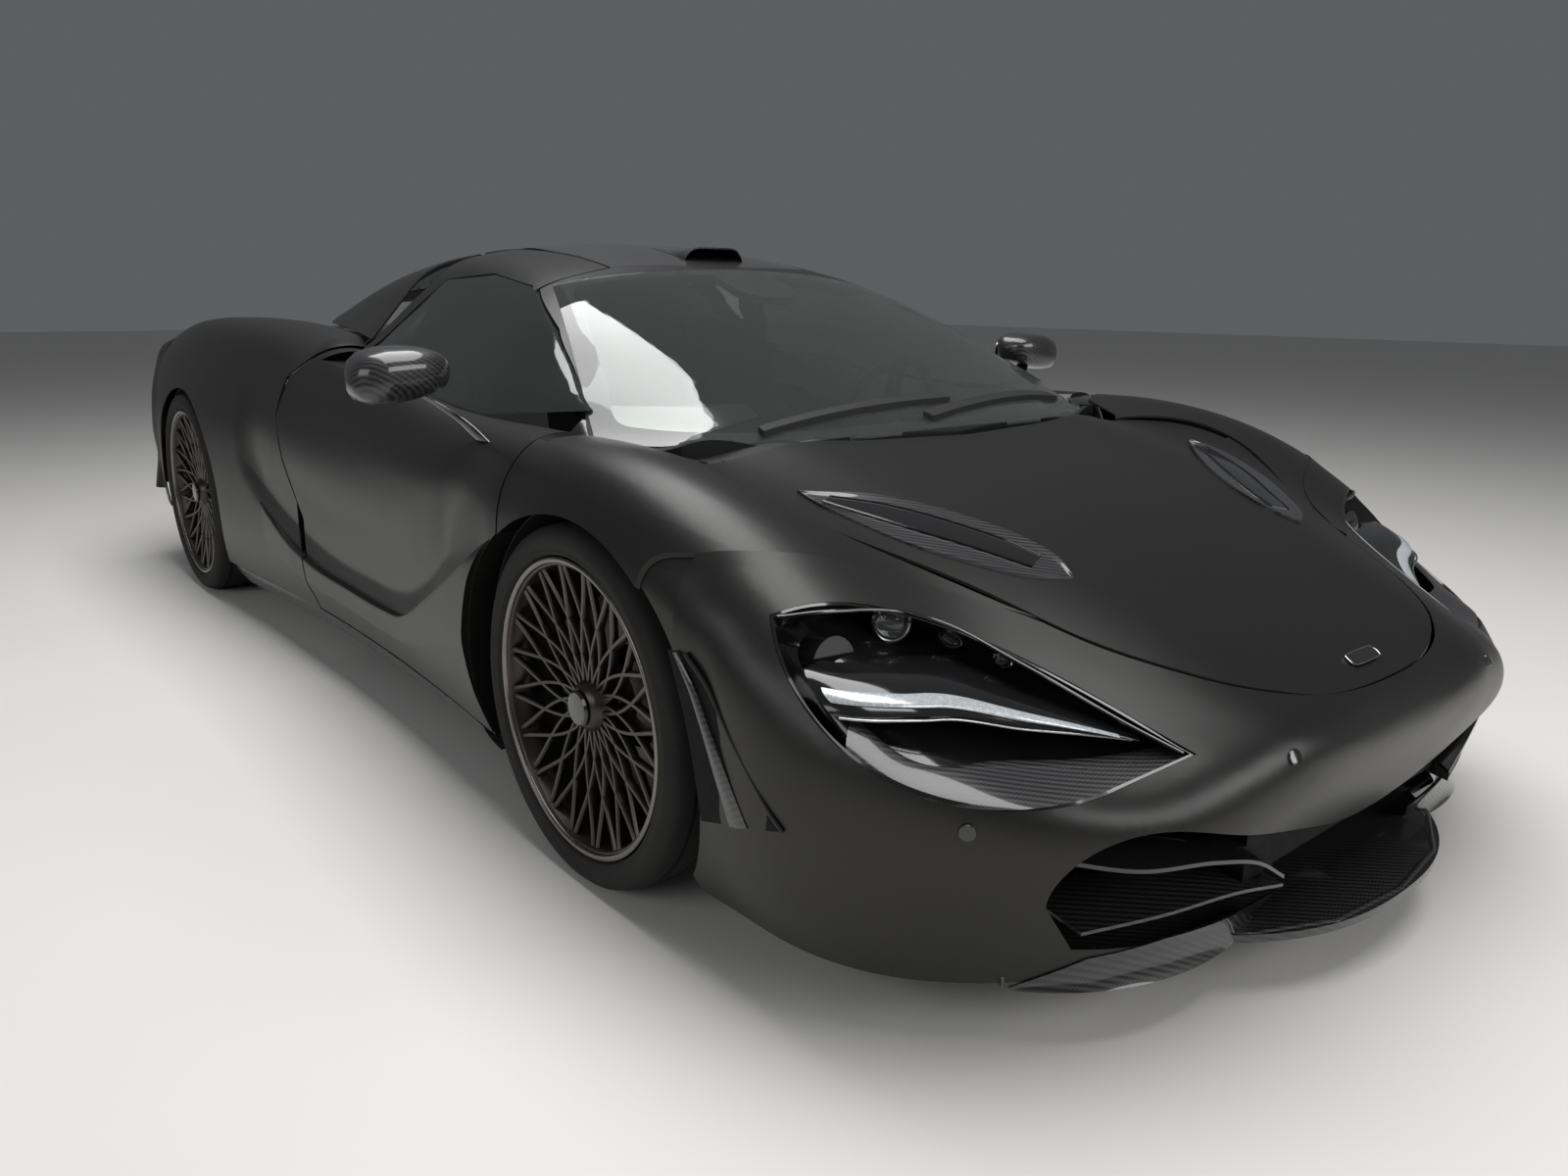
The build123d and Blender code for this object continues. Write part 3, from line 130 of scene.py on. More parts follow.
# %% Finishes
class Finish:
    """A named material whose Principled shader is `shader`."""

    def __init__(self, name, **settings):
        self.material = bpy.data.materials.new(name)
        self.material.use_nodes = True
        self.tree = self.material.node_tree
        self.shader = self.tree.nodes["Principled BSDF"]
        for key, value in settings.items():
            self.set(key, value)

    def set(self, key, value):
        """Sets or wires one input of the shader; `coat_weight` means Coat Weight."""
        name = {"ior": "IOR", "coat_ior": "Coat IOR", "specular": "Specular IOR Level",
                "transmission": "Transmission Weight"}.get(key, key.replace("_", " ").title())
        self.put(self.shader.inputs[name], value)

    def put(self, socket, value):
        """Links a wire to a socket, or sets the socket's own number or colour."""
        if isinstance(value, Wire):
            self.tree.links.new(value.socket, socket)
        elif isinstance(value, tuple) and len(value) == 3 and socket.type == "RGBA":
            socket.default_value = (*value, 1)
        else:
            socket.default_value = value

    def node(self, kind, settings=None, *values, output=0, **named):
        """Any node: its settings, then its inputs in order or by name. Returns one of its outputs."""
        made = self.tree.nodes.new(kind)
        for key, value in (settings or {}).items():
            if key == "knots":
                line = made.mapping.curves[0]
                for knot in value[1:-1]:
                    line.points.new(*knot)
                line.points[0].location, line.points[-1].location = value[0], value[-1]
                made.mapping.update()
            else:
                setattr(made, key, value)
        for socket, value in zip([s for s in made.inputs if s.enabled], values):
            self.put(socket, value)
        for key, value in named.items():
            self.put(made.inputs[key.replace("_", " ").title()], value)
        return Wire(self, made.outputs[output])

    def place(self):
        """The point being shaded, in metres in the car's frame."""
        return self.node("ShaderNodeTexCoord", output="Object")

    def axes(self):
        """The point's x, y and z as three wires."""
        made = self.node("ShaderNodeSeparateXYZ", {}, self.place())
        return [Wire(self, made.socket.node.outputs[k]) for k in range(3)]

    def noise(self, scale, detail=3.0, roughness=0.5):
        """Soft random value from 0 to 1 that changes `scale` times in a metre."""
        return self.node("ShaderNodeTexNoise", {}, output="Fac", vector=self.place(), scale=scale,
                         detail=detail, roughness=roughness)

    def mix(self, amount, first, second):
        """Colour that goes from first to second as amount goes from 0 to 1."""
        mixed = self.node("ShaderNodeMix", {"data_type": "RGBA"}, output=2, factor=amount)
        for place, colour in ((6, first), (7, second)):
            self.put(mixed.socket.node.inputs[place], colour)
        return mixed

    def bump(self, height, strength, distance):
        """Bends the normals as if the surface rose by height times distance, in metres."""
        self.set("normal", self.node("ShaderNodeBump", {}, output="Normal", strength=strength,
                                     distance=distance, height=height))


print("finishes read Object coordinates, in metres")

# %% [markdown]
# ## Satin paint
# The body is a very dark satin: a metallic base under a clear, slightly frosted coat.
# Fine flakes vary the roughness and bend the normals a little, so highlights stay soft.
#
# An air channel is pressed along each side, from the front arch to the rear haunch. The
# deepest line is a curve through a few heights, and the depth falls off from it as a
# bell, narrow below and wide above. As a bump it turns the light without moving the
# panel, which has to stay where its hinge and its shut lines are.

# %% Satin paint
CHANNEL_FRONT_Y = -1.1
CHANNEL_SPAN = 2.0
CHANNEL_LINE = [(-1.100, 0.640), (-0.930, 0.600), (-0.750, 0.528), (-0.594, 0.440), (-0.409, 0.376),
                (-0.180, 0.362), (0.137, 0.370), (0.400, 0.420), (0.600, 0.488), (0.900, 0.600)]
CHANNEL_DEPTH = 0.044
WIDTH_BELOW, WIDTH_ABOVE = 0.050, 0.125
FLAKE_HEIGHT = 0.000012


def smoothstep(wire, low, high):
    """0 below low, 1 above high and a smooth rise between them."""
    return wire.finish.node("ShaderNodeMapRange", {"interpolation_type": "SMOOTHSTEP"}, output="Result",
                            value=wire, from_min=low, from_max=high)


def channel_shape(paint):
    """Bell of the height away from the deepest line, faded out at the channel's two ends."""
    _, y, z = paint.axes()
    along = (y - CHANNEL_FRONT_Y) / CHANNEL_SPAN
    knots = [((knot_y - CHANNEL_FRONT_Y) / CHANNEL_SPAN, knot_z) for knot_y, knot_z in CHANNEL_LINE]
    away = z - paint.node("ShaderNodeFloatCurve", {"knots": knots}, 1.0, along)
    below = away < 0.0
    share = away / (below * WIDTH_BELOW + (1 - below) * WIDTH_ABOVE)
    fade = smoothstep(y, -0.960, -0.700) * (1 - smoothstep(y, 0.580, 0.840))
    return fade * (share * share * -1.0).maths("EXPONENT")


def satin_paint(name, colour, channel_depth=0.0):
    """Dark satin paint. A channel depth in metres adds the side's air channel to its bump."""
    paint = Finish(name, metallic=0.55, coat_weight=0.25, coat_roughness=0.32, coat_ior=1.5)
    cloud = paint.noise(3.0)
    flake = paint.noise(900.0, 1.0)
    paint.set("base_color", paint.mix(flake * 0.5 + cloud * 0.3, colour, tuple(c * 1.35 for c in colour)))
    paint.set("roughness", 0.34 + 0.05 * flake + 0.03 * cloud)
    height = flake * FLAKE_HEIGHT
    if channel_depth:
        height = height - channel_shape(paint) * channel_depth
    paint.bump(height, 1.0, 1.0)
    return paint


PAINT_COLOUR = (0.013, 0.0122, 0.0115)
body_paint = satin_paint("satin_paint", PAINT_COLOUR)
side_paint = satin_paint("satin_paint_with_channel", PAINT_COLOUR, CHANNEL_DEPTH)
print("paints:", body_paint.material.name, side_paint.material.name)

# %% [markdown]
# ## Gloss black, painted shade and glass
# Trim round the windows and in the lamps is gloss black. What lies deep in an intake gets a
# matt black far darker than any real black, which swallows light: painted shade for the dark
# of a recess, laid on a black part or on a bare sheet. The windscreen is nearly clear and the
# other panes are tinted. Each finish differs only in a few numbers and two colours, so the varying
# part, two colours mixed by noise and a noisy roughness, is one helper.

# %% Blacks and glass
def mottled(finish, colours, cloud, roughness, grain):
    """Mixes two colours by noise of one scale; roughness is a base and a share of noise of another."""
    finish.set("base_color", finish.mix(finish.noise(cloud), *colours))
    finish.set("roughness", roughness[0] + roughness[1] * finish.noise(grain))
    return finish


gloss_black = mottled(Finish("gloss_black", specular=0.6, coat_weight=0.5, coat_roughness=0.03),
                      ((0.006, 0.006, 0.006), (0.010, 0.010, 0.011)), 6.0, (0.10, 0.06), 30.0)
# Painted shade: a near-zero matt black that stands in for the dark deep inside an intake.
black_with_painted_shade = mottled(Finish("black_with_painted_shade", specular=0.15),
                     ((0.002, 0.002, 0.002), (0.005, 0.005, 0.005)), 20.0, (0.55, 0.2), 50.0)
window_glass = mottled(Finish("window_glass", ior=1.5, transmission=0.92, specular=0.5),
                       ((0.20, 0.22, 0.21), (0.26, 0.28, 0.27)), 2.0, (0.01, 0.02), 12.0)
screen_glass = mottled(Finish("screen_glass", ior=1.5, transmission=0.97, specular=0.5),
                       ((0.60, 0.63, 0.61), (0.66, 0.69, 0.67)), 2.0, (0.005, 0.01), 8.0)
lamp_glass = mottled(Finish("lamp_glass", ior=1.5, transmission=0.95),
                     ((0.7, 0.72, 0.74), (0.8, 0.82, 0.84)), 5.0, (0.01, 0.01), 20.0)
print("blacks:", gloss_black.material.name, black_with_painted_shade.material.name)
print("glass:", [glass.material.name for glass in (window_glass, screen_glass, lamp_glass)])

# %% [markdown]
# ## Carbon fibre
# Twill weave: warp and weft strands cross, and each row is shifted by one strand, so
# the surface reads as fine diagonal steps. The mask says which strand lies on top, and
# a gloss lacquer covers both.

# %% Carbon fibre
STRAND = 0.0042   # width of one strand, in metres


def carbon_fibre(name, gloss=0.12):
    """Twill: the strand on top depends on the sum of the strands' numbers, modulo four."""
    carbon = Finish(name, coat_weight=0.9, coat_roughness=gloss * 0.5, metallic=0.35)
    x, y, z = carbon.axes()
    across = (x + 0.6 * z) / STRAND
    along = (y + 0.8 * z) / STRAND
    on_top = ((across.floor() + along.floor()) % 4.0) < 1.5
    round_warp = abs((across % 1.0) - 0.5)
    round_weft = abs((along % 1.0) - 0.5)
    crown = on_top * round_warp + (1 - on_top) * round_weft
    carbon.set("base_color", carbon.mix(on_top, (0.012, 0.012, 0.013), (0.040, 0.040, 0.042)))
    carbon.set("roughness", 0.28 + 0.16 * on_top + 0.1 * crown)
    carbon.bump(0.5 - crown, 0.25, 0.0005)
    return carbon


carbon = carbon_fibre("carbon_fibre")
carbon_gloss = carbon_fibre("carbon_fibre_gloss", 0.05)
print("carbon fibre: strands of", STRAND * 1000, "mm")

# %% [markdown]
# ## Rubber, metals and cabin trim
# Each metal differs in how it was worked: the wheels are satin-coated castings, their
# lips are machined, and the exhaust tips are polished and tinted by heat. Tyre rubber is
# the roughest thing on the car, with a fine grain.

# %% Rubber and metals
rubber = mottled(Finish("tyre_rubber", specular=0.3),
                 ((0.010, 0.010, 0.010), (0.020, 0.019, 0.018)), 14.0, (0.72, 0.12), 60.0)
rubber.bump(rubber.noise(350.0), 0.15, 0.0006)

wheel_metal = mottled(Finish("wheel_satin_bronze", metallic=0.9, coat_weight=0.15, coat_roughness=0.25),
                      ((0.045, 0.041, 0.038), (0.065, 0.059, 0.054)), 8.0, (0.30, 0.08), 50.0)
wheel_metal.bump(wheel_metal.noise(600.0), 0.05, 0.0003)


def plain_metal(name, dark, light, roughness, grain=120.0):
    """Bare metal with a fine grain in its roughness and normals."""
    metal = mottled(Finish(name, metallic=1.0), (dark, light), grain * 0.2, (roughness, 0.12), grain)
    metal.bump(metal.noise(grain * 3), 0.05, 0.0003)
    return metal


bright_metal = plain_metal("bright_metal", (0.50, 0.50, 0.50), (0.62, 0.62, 0.62), 0.16)
cast_metal = plain_metal("cast_metal", (0.16, 0.16, 0.17), (0.24, 0.24, 0.25), 0.45)
lip_metal = plain_metal("machined_lip", (0.16, 0.15, 0.14), (0.22, 0.21, 0.20), 0.20)
exhaust_metal = plain_metal("exhaust_metal", (0.32, 0.29, 0.26), (0.45, 0.42, 0.40), 0.22)
metals = (wheel_metal, bright_metal, cast_metal, lip_metal, exhaust_metal)
print("metals:", [metal.material.name for metal in metals])

# %% [markdown]
# ## Turned brake discs
# A lathe leaves fine rings on a brake disc. Their pattern is a sine of the distance from
# the axle, and the axles' places are read from the tyres of the CAD model, which also
# give the sizes of the wheels made further on.

# %% Turned discs
def wheel_place(end):
    """Axle's middle, tyre radius, rim radius and width of the left wheel, in millimetres."""
    low, high = (np.array(corner) * 1000 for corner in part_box(f"{end}_tyre_left"))
    centre = np.round((low + high) / 2, 1)
    rim_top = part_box(f"{end}_rim_left")[1][2] * 1000
    sizes = high[2] - centre[2], rim_top - centre[2], high[0] - low[0]
    return centre, *(round(float(size), 1) for size in sizes)


WHEELS = {end: wheel_place(end) for end in ("front", "rear")}
RINGS_PER_METRE = 2600.0
front_y, front_z = WHEELS["front"][0][1:] / 1000
rear_y, rear_z = WHEELS["rear"][0][1:] / 1000

disc_metal = Finish("turned_disc", metallic=1.0)
_, disc_y, disc_z = disc_metal.axes()
at_rear = disc_y > float(front_y + rear_y) / 2
off_y = disc_y - (at_rear * float(rear_y - front_y) + float(front_y))
off_z = disc_z - (at_rear * float(rear_z - front_z) + float(front_z))
rings = ((off_y * off_y + off_z * off_z).maths("SQRT") * RINGS_PER_METRE).maths("SINE") * 0.5 + 0.5
disc_metal.set("base_color", disc_metal.mix(rings, (0.20, 0.195, 0.19), (0.30, 0.295, 0.29)))
disc_metal.set("roughness", 0.26 + 0.12 * rings)
for end, (centre, *sizes) in WHEELS.items():
    print(end, "axle at", centre, "mm; tyre radius, rim radius and width:", sizes)

# %% [markdown]
# ## Cabin trim and rear lamps
# Seats and the steering wheel are suede, the dashboard is leather and the rest is grained
# plastic: one recipe, with grain of three sizes. The rear lamps are red and softly lit.

# %% Cabin trim and lamps
def cabin_trim(name, dark, light, roughness, grain):
    """Dull dark trim whose grain shows in colour, roughness and normals."""
    trim = mottled(Finish(name, specular=0.35), (dark, light), grain * 0.3, (roughness, 0.15), grain)
    trim.bump(trim.noise(grain), 0.25, 0.0006)
    return trim


suede = cabin_trim("suede", (0.010, 0.010, 0.011), (0.020, 0.020, 0.021), 0.75, 260.0)
leather = cabin_trim("leather", (0.014, 0.013, 0.013), (0.024, 0.022, 0.021), 0.48, 180.0)
moulded = cabin_trim("moulded_plastic", (0.012, 0.012, 0.012), (0.020, 0.020, 0.020), 0.55, 400.0)

red_lens = mottled(Finish("red_lens", coat_weight=0.8, coat_roughness=0.05, specular=0.6),
                   ((0.20, 0.004, 0.006), (0.34, 0.010, 0.012)), 90.0, (0.12, 0.08), 60.0)
red_lens.set("emission_color", red_lens.mix(red_lens.noise(90.0), (0.6, 0.01, 0.01), (1.0, 0.03, 0.03)))
red_lens.set("emission_strength", 0.5)
print("trim:", [trim.material.name for trim in (suede, leather, moulded, red_lens)])

# %% [markdown]
# ## Dressing the CAD solids
# Every carried-over solid gets one of the finishes, by its own name. A table is easier to
# check than a line of code for each: what isn't in it is printed as undressed.

# %% Dress the solids
# Each finish and its solids. A star stands for a left and a right one.
SOLIDS_OF = (
    (body_paint, "bonnet front_bumper front_fender* engine_deck rear_canopy rear_wing"),
    (body_paint, "cabin_frame rear_fascia"),
    (side_paint, "door* rear_quarter*"),
    (gloss_black, "headlamp*"),
    (screen_glass, "windscreen"),
    (window_glass, "side_window* rear_window"),
    (carbon, "front_splitter side_skirts rear_diffuser roof_panel mirror* monocoque"),
    (rubber, "front_tyre* rear_tyre*"),
    (wheel_metal, "front_rim* rear_rim*"),
    (cast_metal, "front_knuckle* rear_suspension front_wishbones engine_block"),
    (exhaust_metal, "exhaust_tips"),
    (suede, "seats steering_wheel"),
    (leather, "dashboard"),
    (moulded, "arch_liners luggage_tub wipers rear_subframe"),
    # The subframe lies deep in the intake: its own black, made darker still as painted shade.
    (black_with_painted_shade, "front_subframe"),
    (red_lens, "tail_lamps"),
)
dressed = set()
for finish, names in SOLIDS_OF:
    for name in names.split():
        for side in ("_left", "_right") if "*" in name else ("",):
            solid = name.replace("*", side)
            nodes[solid].data.materials.clear()
            nodes[solid].data.materials.append(finish.material)
            dressed.add(solid)
print(len(dressed), "dressed, undressed:", sorted(set(nodes) - dressed))

# %% [markdown]
# ## The body as a formula
# The panels follow one smooth form: a height function for the upper surface, a half
# width for the sides, and leaning planes at nose and tail, joined with soft edges. The
# same form gives the place of every small thing laid on the body, so nothing floats.
# Lengths here are in millimetres and become metres when a mesh is made.

# %% Form of the body
def curve(*points):
    """Smooth function of y: on each span, a cubic that meets its neighbours' slopes."""
    ys, vs = np.array(points, float).T
    step = np.diff(ys)
    slope = np.diff(vs) / step
    tangent = np.concatenate(([slope[0]], (slope[:-1] * step[1:] + slope[1:] * step[:-1]) /
                              (step[:-1] + step[1:]), [slope[-1]]))

    def value(y):
        """Hermite cubic inside the points; beyond them the end slopes go straight on."""
        y = np.asarray(y, float)
        i = np.clip(np.searchsorted(ys, y) - 1, 0, len(ys) - 2)
        t = np.clip((y - ys[i]) / step[i], 0, 1)
        inside = ((2 * t**3 - 3 * t**2 + 1) * vs[i] + (t**3 - 2 * t**2 + t) * tangent[i] * step[i]
                  + (3 * t**2 - 2 * t**3) * vs[i + 1] + (t**3 - t**2) * tangent[i + 1] * step[i])
        return inside + np.minimum(y - ys[0], 0) * tangent[0] + np.maximum(y - ys[-1], 0) * tangent[-1]

    return value


hump = curve((0, 0), (1, 1), (2, 0))
print("a curve through (0, 0), (1, 1) and (2, 0) is", round(float(hump(0.5)), 3), "high at 0.5")

# %% [markdown]
# ## Feature lines of the body
# A body is drawn as a few long lines seen from the side and from above: the centre line,
# the fenders' crowns, the valleys beside them, the widest line, and how far each level is
# set in. Everything between them is blended, so these few points hold the whole shape.

# %% Feature lines
centre_z = curve((-2400, 395), (-2200, 458), (-2000, 547), (-1700, 656), (-1400, 730), (-1280, 755),
                 (-1000, 790), (-500, 815), (0, 840), (500, 870), (1000, 890), (1443, 895),
                 (1900, 885), (2288, 865))
crown_z = curve((-2300, 290), (-2100, 390), (-1960, 478), (-1806, 578), (-1684, 652), (-1557, 712),
                (-1452, 745), (-1287, 774), (-1016, 782), (-700, 772), (-400, 785), (0, 830),
                (300, 872), (700, 920), (1100, 948), (1443, 945), (1900, 892), (2288, 820))
crown_x = curve((-2300, 700), (-1900, 760), (-1600, 785), (-1227, 800), (-300, 790), (700, 800),
                (1443, 810), (2288, 760))
valley_depth = curve((-2050, 0), (-1800, 8), (-1500, 24), (-1227, 36), (-1000, 38), (-600, 18),
                     (0, 0), (2288, 0))
half_width = curve((-2300, 905), (-1900, 925), (-1600, 945), (-1227, 955), (-900, 944), (-500, 918),
                   (-100, 905), (300, 908), (700, 930), (1100, 955), (1443, 965), (1800, 952),
                   (2100, 915), (2288, 870))
side_inset = curve((60, 95), (130, 42), (220, 12), (330, 0), (450, 0), (560, 2), (650, 10),
                   (760, 40), (900, 110), (1000, 170))
nose_lean = curve((60, 110), (130, 78), (234, 42), (330, 8), (385, 0), (460, 14), (560, 60))
tail_lean = curve((100, -260), (200, -170), (330, -70), (450, -20), (600, -25), (760, -40),
                  (860, -25), (940, 0))
NOSE_Y = -2242.0
TAIL_Y = 2272.0

# The cabin is drawn the same way: its roof line, its rails, and the lean of its sides.
roof_z = curve((-1500, 640), (-1280, 755), (-1000, 886), (-700, 1012), (-450, 1104), (-200, 1154),
               (0, 1174), (250, 1176), (600, 1142), (1000, 1070), (1400, 992), (1800, 925), (2100, 880))
rail_x = curve((-1500, 900), (-1280, 850), (-1000, 762), (-700, 660), (-410, 560), (-200, 520),
               (100, 500), (500, 490), (900, 470), (1400, 430), (2100, 380))
rail_z = curve((-1500, 500), (-1280, 640), (-1000, 762), (-700, 930), (-410, 1050), (-200, 1090),
               (0, 1108), (300, 1105), (700, 1060), (1100, 990), (1500, 920), (2100, 820))
cabin_lean = curve((-1500, 0.55), (-1000, 0.7), (-400, 0.85), (200, 0.9), (800, 0.8), (2100, 0.7))
print("roof", round(float(roof_z(100))), "mm above the ground")

# %% [markdown]
# ## Signed fields
# A field that is negative inside and positive outside makes a solid from a formula. The
# greater of two fields is the solid that both hold, and blending near the place where
# they are equal rounds the edge between them, as a body press would.

# %% Signed fields
FLAT_SHARE = 0.42                        # of the way to the crown, where the fender starts to rise
VALLEY_AT, VALLEY_WIDTH = 0.78, 0.12     # of the way to the crown
FALL_LENGTH = 330                        # beyond the crown it falls by distance squared over this
FULL_HALF = 800                          # half width at which nose and tail are swept back fully
NOSE_SWEEP, TAIL_SWEEP = 210, 75
SIDE_BLEND, NOSE_BLEND, TAIL_BLEND, CABIN_BLEND = 70, 60, 50, 40


def soft_and(a, b, radius):
    """The greater of two signed fields, blended over a radius, so that their edge is rounded."""
    h = np.clip(0.5 + 0.5 * (a - b) / radius, 0, 1)
    return b + (a - b) * h + radius * h * (1 - h)


def top_z(x, y):
    """Height of the upper surface: centre line, valley and fender crown."""
    x = np.abs(x)
    across = x / crown_x(y)
    s = np.clip((across - FLAT_SHARE) / (1 - FLAT_SHARE), 0, 1)
    rise = (crown_z(y) - centre_z(y)) * s * s * (3 - 2 * s)
    valley = valley_depth(y) * np.exp(-(((across - VALLEY_AT) / VALLEY_WIDTH) ** 2))
    fall = np.maximum(x - crown_x(y), 0) ** 2 / FALL_LENGTH
    return centre_z(y) + rise - valley - fall


def body_form(x, y, z, pressed=0.0):
    """Signed field of the body: the greatest of upper surface, side, nose and tail."""
    x = np.abs(x)
    upper = z - top_z(x, y)
    side = x - (half_width(y) - side_inset(z) - pressed)
    nose = NOSE_Y + NOSE_SWEEP * (x / FULL_HALF) ** 4.2 + nose_lean(z) - y
    tail = y - (TAIL_Y - TAIL_SWEEP * (x / FULL_HALF) ** 3 + tail_lean(z))
    return soft_and(soft_and(soft_and(upper, side, SIDE_BLEND), nose, NOSE_BLEND), tail, TAIL_BLEND)


def cabin_form(x, y, z):
    """Signed field of the cabin: an arched roof between rails, over sides that lean in."""
    x = np.abs(x)
    upper = z - (roof_z(y) - (roof_z(y) - rail_z(y)) * (x / rail_x(y)) ** 2.2)
    lean = cabin_lean(y)
    side = (x - (rail_x(y) + (rail_z(y) - z) * lean)) / np.sqrt(1 + lean**2)
    return soft_and(upper, side, CABIN_BLEND)


print("body at the front axle is", round(2 * float(half_width(-1227))), "mm wide")

# %% [markdown]
# ## Reaching the surface
# A ray from inside the form leaves it where the form's value passes a level. Halving
# the span again and again finds that place for a whole array of rays at once.

# %% Rays to the surface
RAY_LENGTH = 2600.0
HALVINGS = 26
SIDE_START_X, TOP_START_Z, NOSE_PIVOT_Y = 200.0, 300.0, -1500.0   # where rays start, inside the form


def reach(form, origins, directions, level=0.0):
    """Points where rays from inside pass a level of the form, by halving the span."""
    near = np.zeros(origins.shape[:-1])
    far = np.full(origins.shape[:-1], RAY_LENGTH)
    for _ in range(HALVINGS):
        middle = (near + far) / 2
        spots = origins + middle[..., None] * directions
        inside = form(spots[..., 0], spots[..., 1], spots[..., 2]) < level
        near, far = np.where(inside, middle, near), np.where(inside, far, middle)
    return origins + near[..., None] * directions


def stacked(*parts):
    """Arrays or numbers broadcast together and stacked as x, y, z."""
    return np.stack(np.broadcast_arrays(*[np.asarray(p, float) for p in parts]), axis=-1)


def side_at(y, z, level=0.0, form=body_form):
    """Point of the left side at (y, z): the ray runs out along +X."""
    out = stacked(1.0, 0.0, np.zeros(np.shape(y + z)))
    return reach(form, stacked(SIDE_START_X, y, z), out, level)


def top_at(x, y, level=0.0, form=body_form):
    """Point of the upper surface at (x, y): the ray runs straight up."""
    up = stacked(0.0, 0.0, np.ones(np.shape(x + y)))
    return reach(form, stacked(x, y, TOP_START_Z), up, level)


def nose_at(azimuth, z, level=0.0):
    """Point of the nose at a height: the ray leaves an upright line at an azimuth in degrees."""
    turn = np.radians(azimuth)
    ahead = stacked(np.sin(turn), -np.cos(turn), 0.0)
    return reach(body_form, stacked(0.0, NOSE_PIVOT_Y, z), ahead, level)


print("bonnet's front edge is", round(float(top_at(0.0, -2200.0)[2])), "mm above the ground")


# %% [markdown]
# ## Surfaces from grids
# Every new piece is a grid of points worked out at once, whose neighbours are joined with
# quads. `loft` closes the ends of a row of sections, and `slab` puts a second grid under
# the first and closes the rim, which gives a thin panel an edge that catches light.
# Modelling by hand would be quicker once, but a formula follows the body when it changes.

# %% Grids
def grid_faces(rows, columns, wrap_rows=False, wrap_columns=False, start=0, flip=False):
    """Quads of a grid: each point with its neighbours along both directions."""
    i = np.arange(rows if wrap_rows else rows - 1)[:, None]
    j = np.arange(columns if wrap_columns else columns - 1)[None, :]
    i2, j2 = (i + 1) % rows, (j + 1) % columns
    quads = np.stack([i * columns + j, i * columns + j2, i2 * columns + j2, i2 * columns + j], axis=-1)
    quads = quads.reshape(-1, 4) + start
    return quads[:, ::-1] if flip else quads


def loft(points):
    """Rows of closed sections joined with quads, with a flat cap at each end."""
    rows, columns = points.shape[:2]
    faces = grid_faces(rows, columns, wrap_columns=True).tolist()
    return points, faces + [list(range(columns)), [(rows - 1) * columns + k for k in range(columns)]]


def slab(outer, inner):
    """Closed shell between two grids of equal size: both faces and the four rims."""
    rows, columns = outer.shape[:2]
    count = rows * columns
    ring = np.concatenate([np.arange(columns), np.arange(1, rows) * columns + columns - 1,
                           (rows - 1) * columns + np.arange(columns - 2, -1, -1),
                           np.arange(rows - 2, 0, -1) * columns])
    after = np.roll(ring, -1)
    rim = np.stack([ring, ring + count, after + count, after], axis=-1)
    front, back = grid_faces(rows, columns), grid_faces(rows, columns, start=count, flip=True)
    return np.concatenate([outer.reshape(-1, 3), inner.reshape(-1, 3)]), np.concatenate([front, back, rim])


print("a grid of 3 by 4 points has", len(grid_faces(3, 4)), "quads")

# %% [markdown]
# ## Pieces
# A piece is a mesh that rides on one body and may stand for a solid of the CAD model. It
# is made in one place, so that every piece gets metres, outward normals and sharp edges
# where its faces turn by more than the sharp angle. Most pieces come as a mirrored pair.

# %% Pieces
SHARP_ANGLE = radians(35)
MERGE_WITHIN = 1e-5   # metres
MADE = []


def tell(title):
    """Prints how many pieces and faces were made since the last call."""
    print(f"{title}: {len(MADE)} pieces, {sum(len(made.data.polygons) for made in MADE)} faces")
    MADE.clear()


def piece_from(name, points, faces, finish, body, stands_for=()):
    """Mesh object in metres from points in millimetres; its normals are turned outwards."""
    mesh = bpy.data.meshes.new(name)
    metres = np.asarray(points).reshape(-1, 3) / 1000
    mesh.from_pydata(metres.tolist(), [], [list(map(int, face)) for face in faces])
    mesh.materials.append(finish.material)
    tidy = bmesh.new()
    tidy.from_mesh(mesh)
    bmesh.ops.remove_doubles(tidy, verts=tidy.verts, dist=MERGE_WITHIN)
    bmesh.ops.recalc_face_normals(tidy, faces=tidy.faces)
    tidy.to_mesh(mesh)
    tidy.free()
    mesh.shade_smooth()
    mesh.set_sharp_from_angle(angle=SHARP_ANGLE)
    made = bpy.data.objects.new(name, mesh)
    scene.collection.objects.link(made)
    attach(made, body)
    if stands_for:
        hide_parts(*stands_for)
    MADE.append(made)


def flipped(points):
    """The same points on the other side of the car."""
    return points * np.array((-1.0, 1.0, 1.0))


def pair(name, points, faces, finish, left_body, right_body=None, stands_for=()):
    """A piece made for the left side and again, mirrored, for the right."""
    sides = (("left", points, left_body), ("right", flipped(points), right_body or left_body))
    for side, spots, body in sides:
        replaced = [f"{node}_{side}" for node in stands_for]
        piece_from(f"{name}_{side}", spots, faces, finish, body, replaced)


def joined(*parts):
    """Several (points, faces) made one."""
    points, faces, start = [], [], 0
    for spots, quads in parts:
        spots = spots.reshape(-1, 3)
        points.append(spots)
        faces += [[int(k) + start for k in face] for face in quads]
        start += len(spots)
    return np.concatenate(points), faces


print("pieces are sharp where faces turn by more than", round(SHARP_ANGLE * 180 / pi), "degrees")

# %% [markdown]
# ## Turned parts and bars
# Wheels, discs and callipers are profiles swept about an axle, all the way or through an
# arc. Bars, beads and wires are a circle carried along a path: the circle stays square
# to the path, and its two axes come from cross products with the path's direction.

# %% Turned parts and bars
def swept(profile, centre, turn):
    """Points of a profile of (distance along X, radius) at each angle about a centre."""
    along, radius = np.array(profile, float).T
    turn = turn[:, None]
    return stacked(centre[0] + along, centre[1] + radius * np.cos(turn), centre[2] + radius * np.sin(turn))


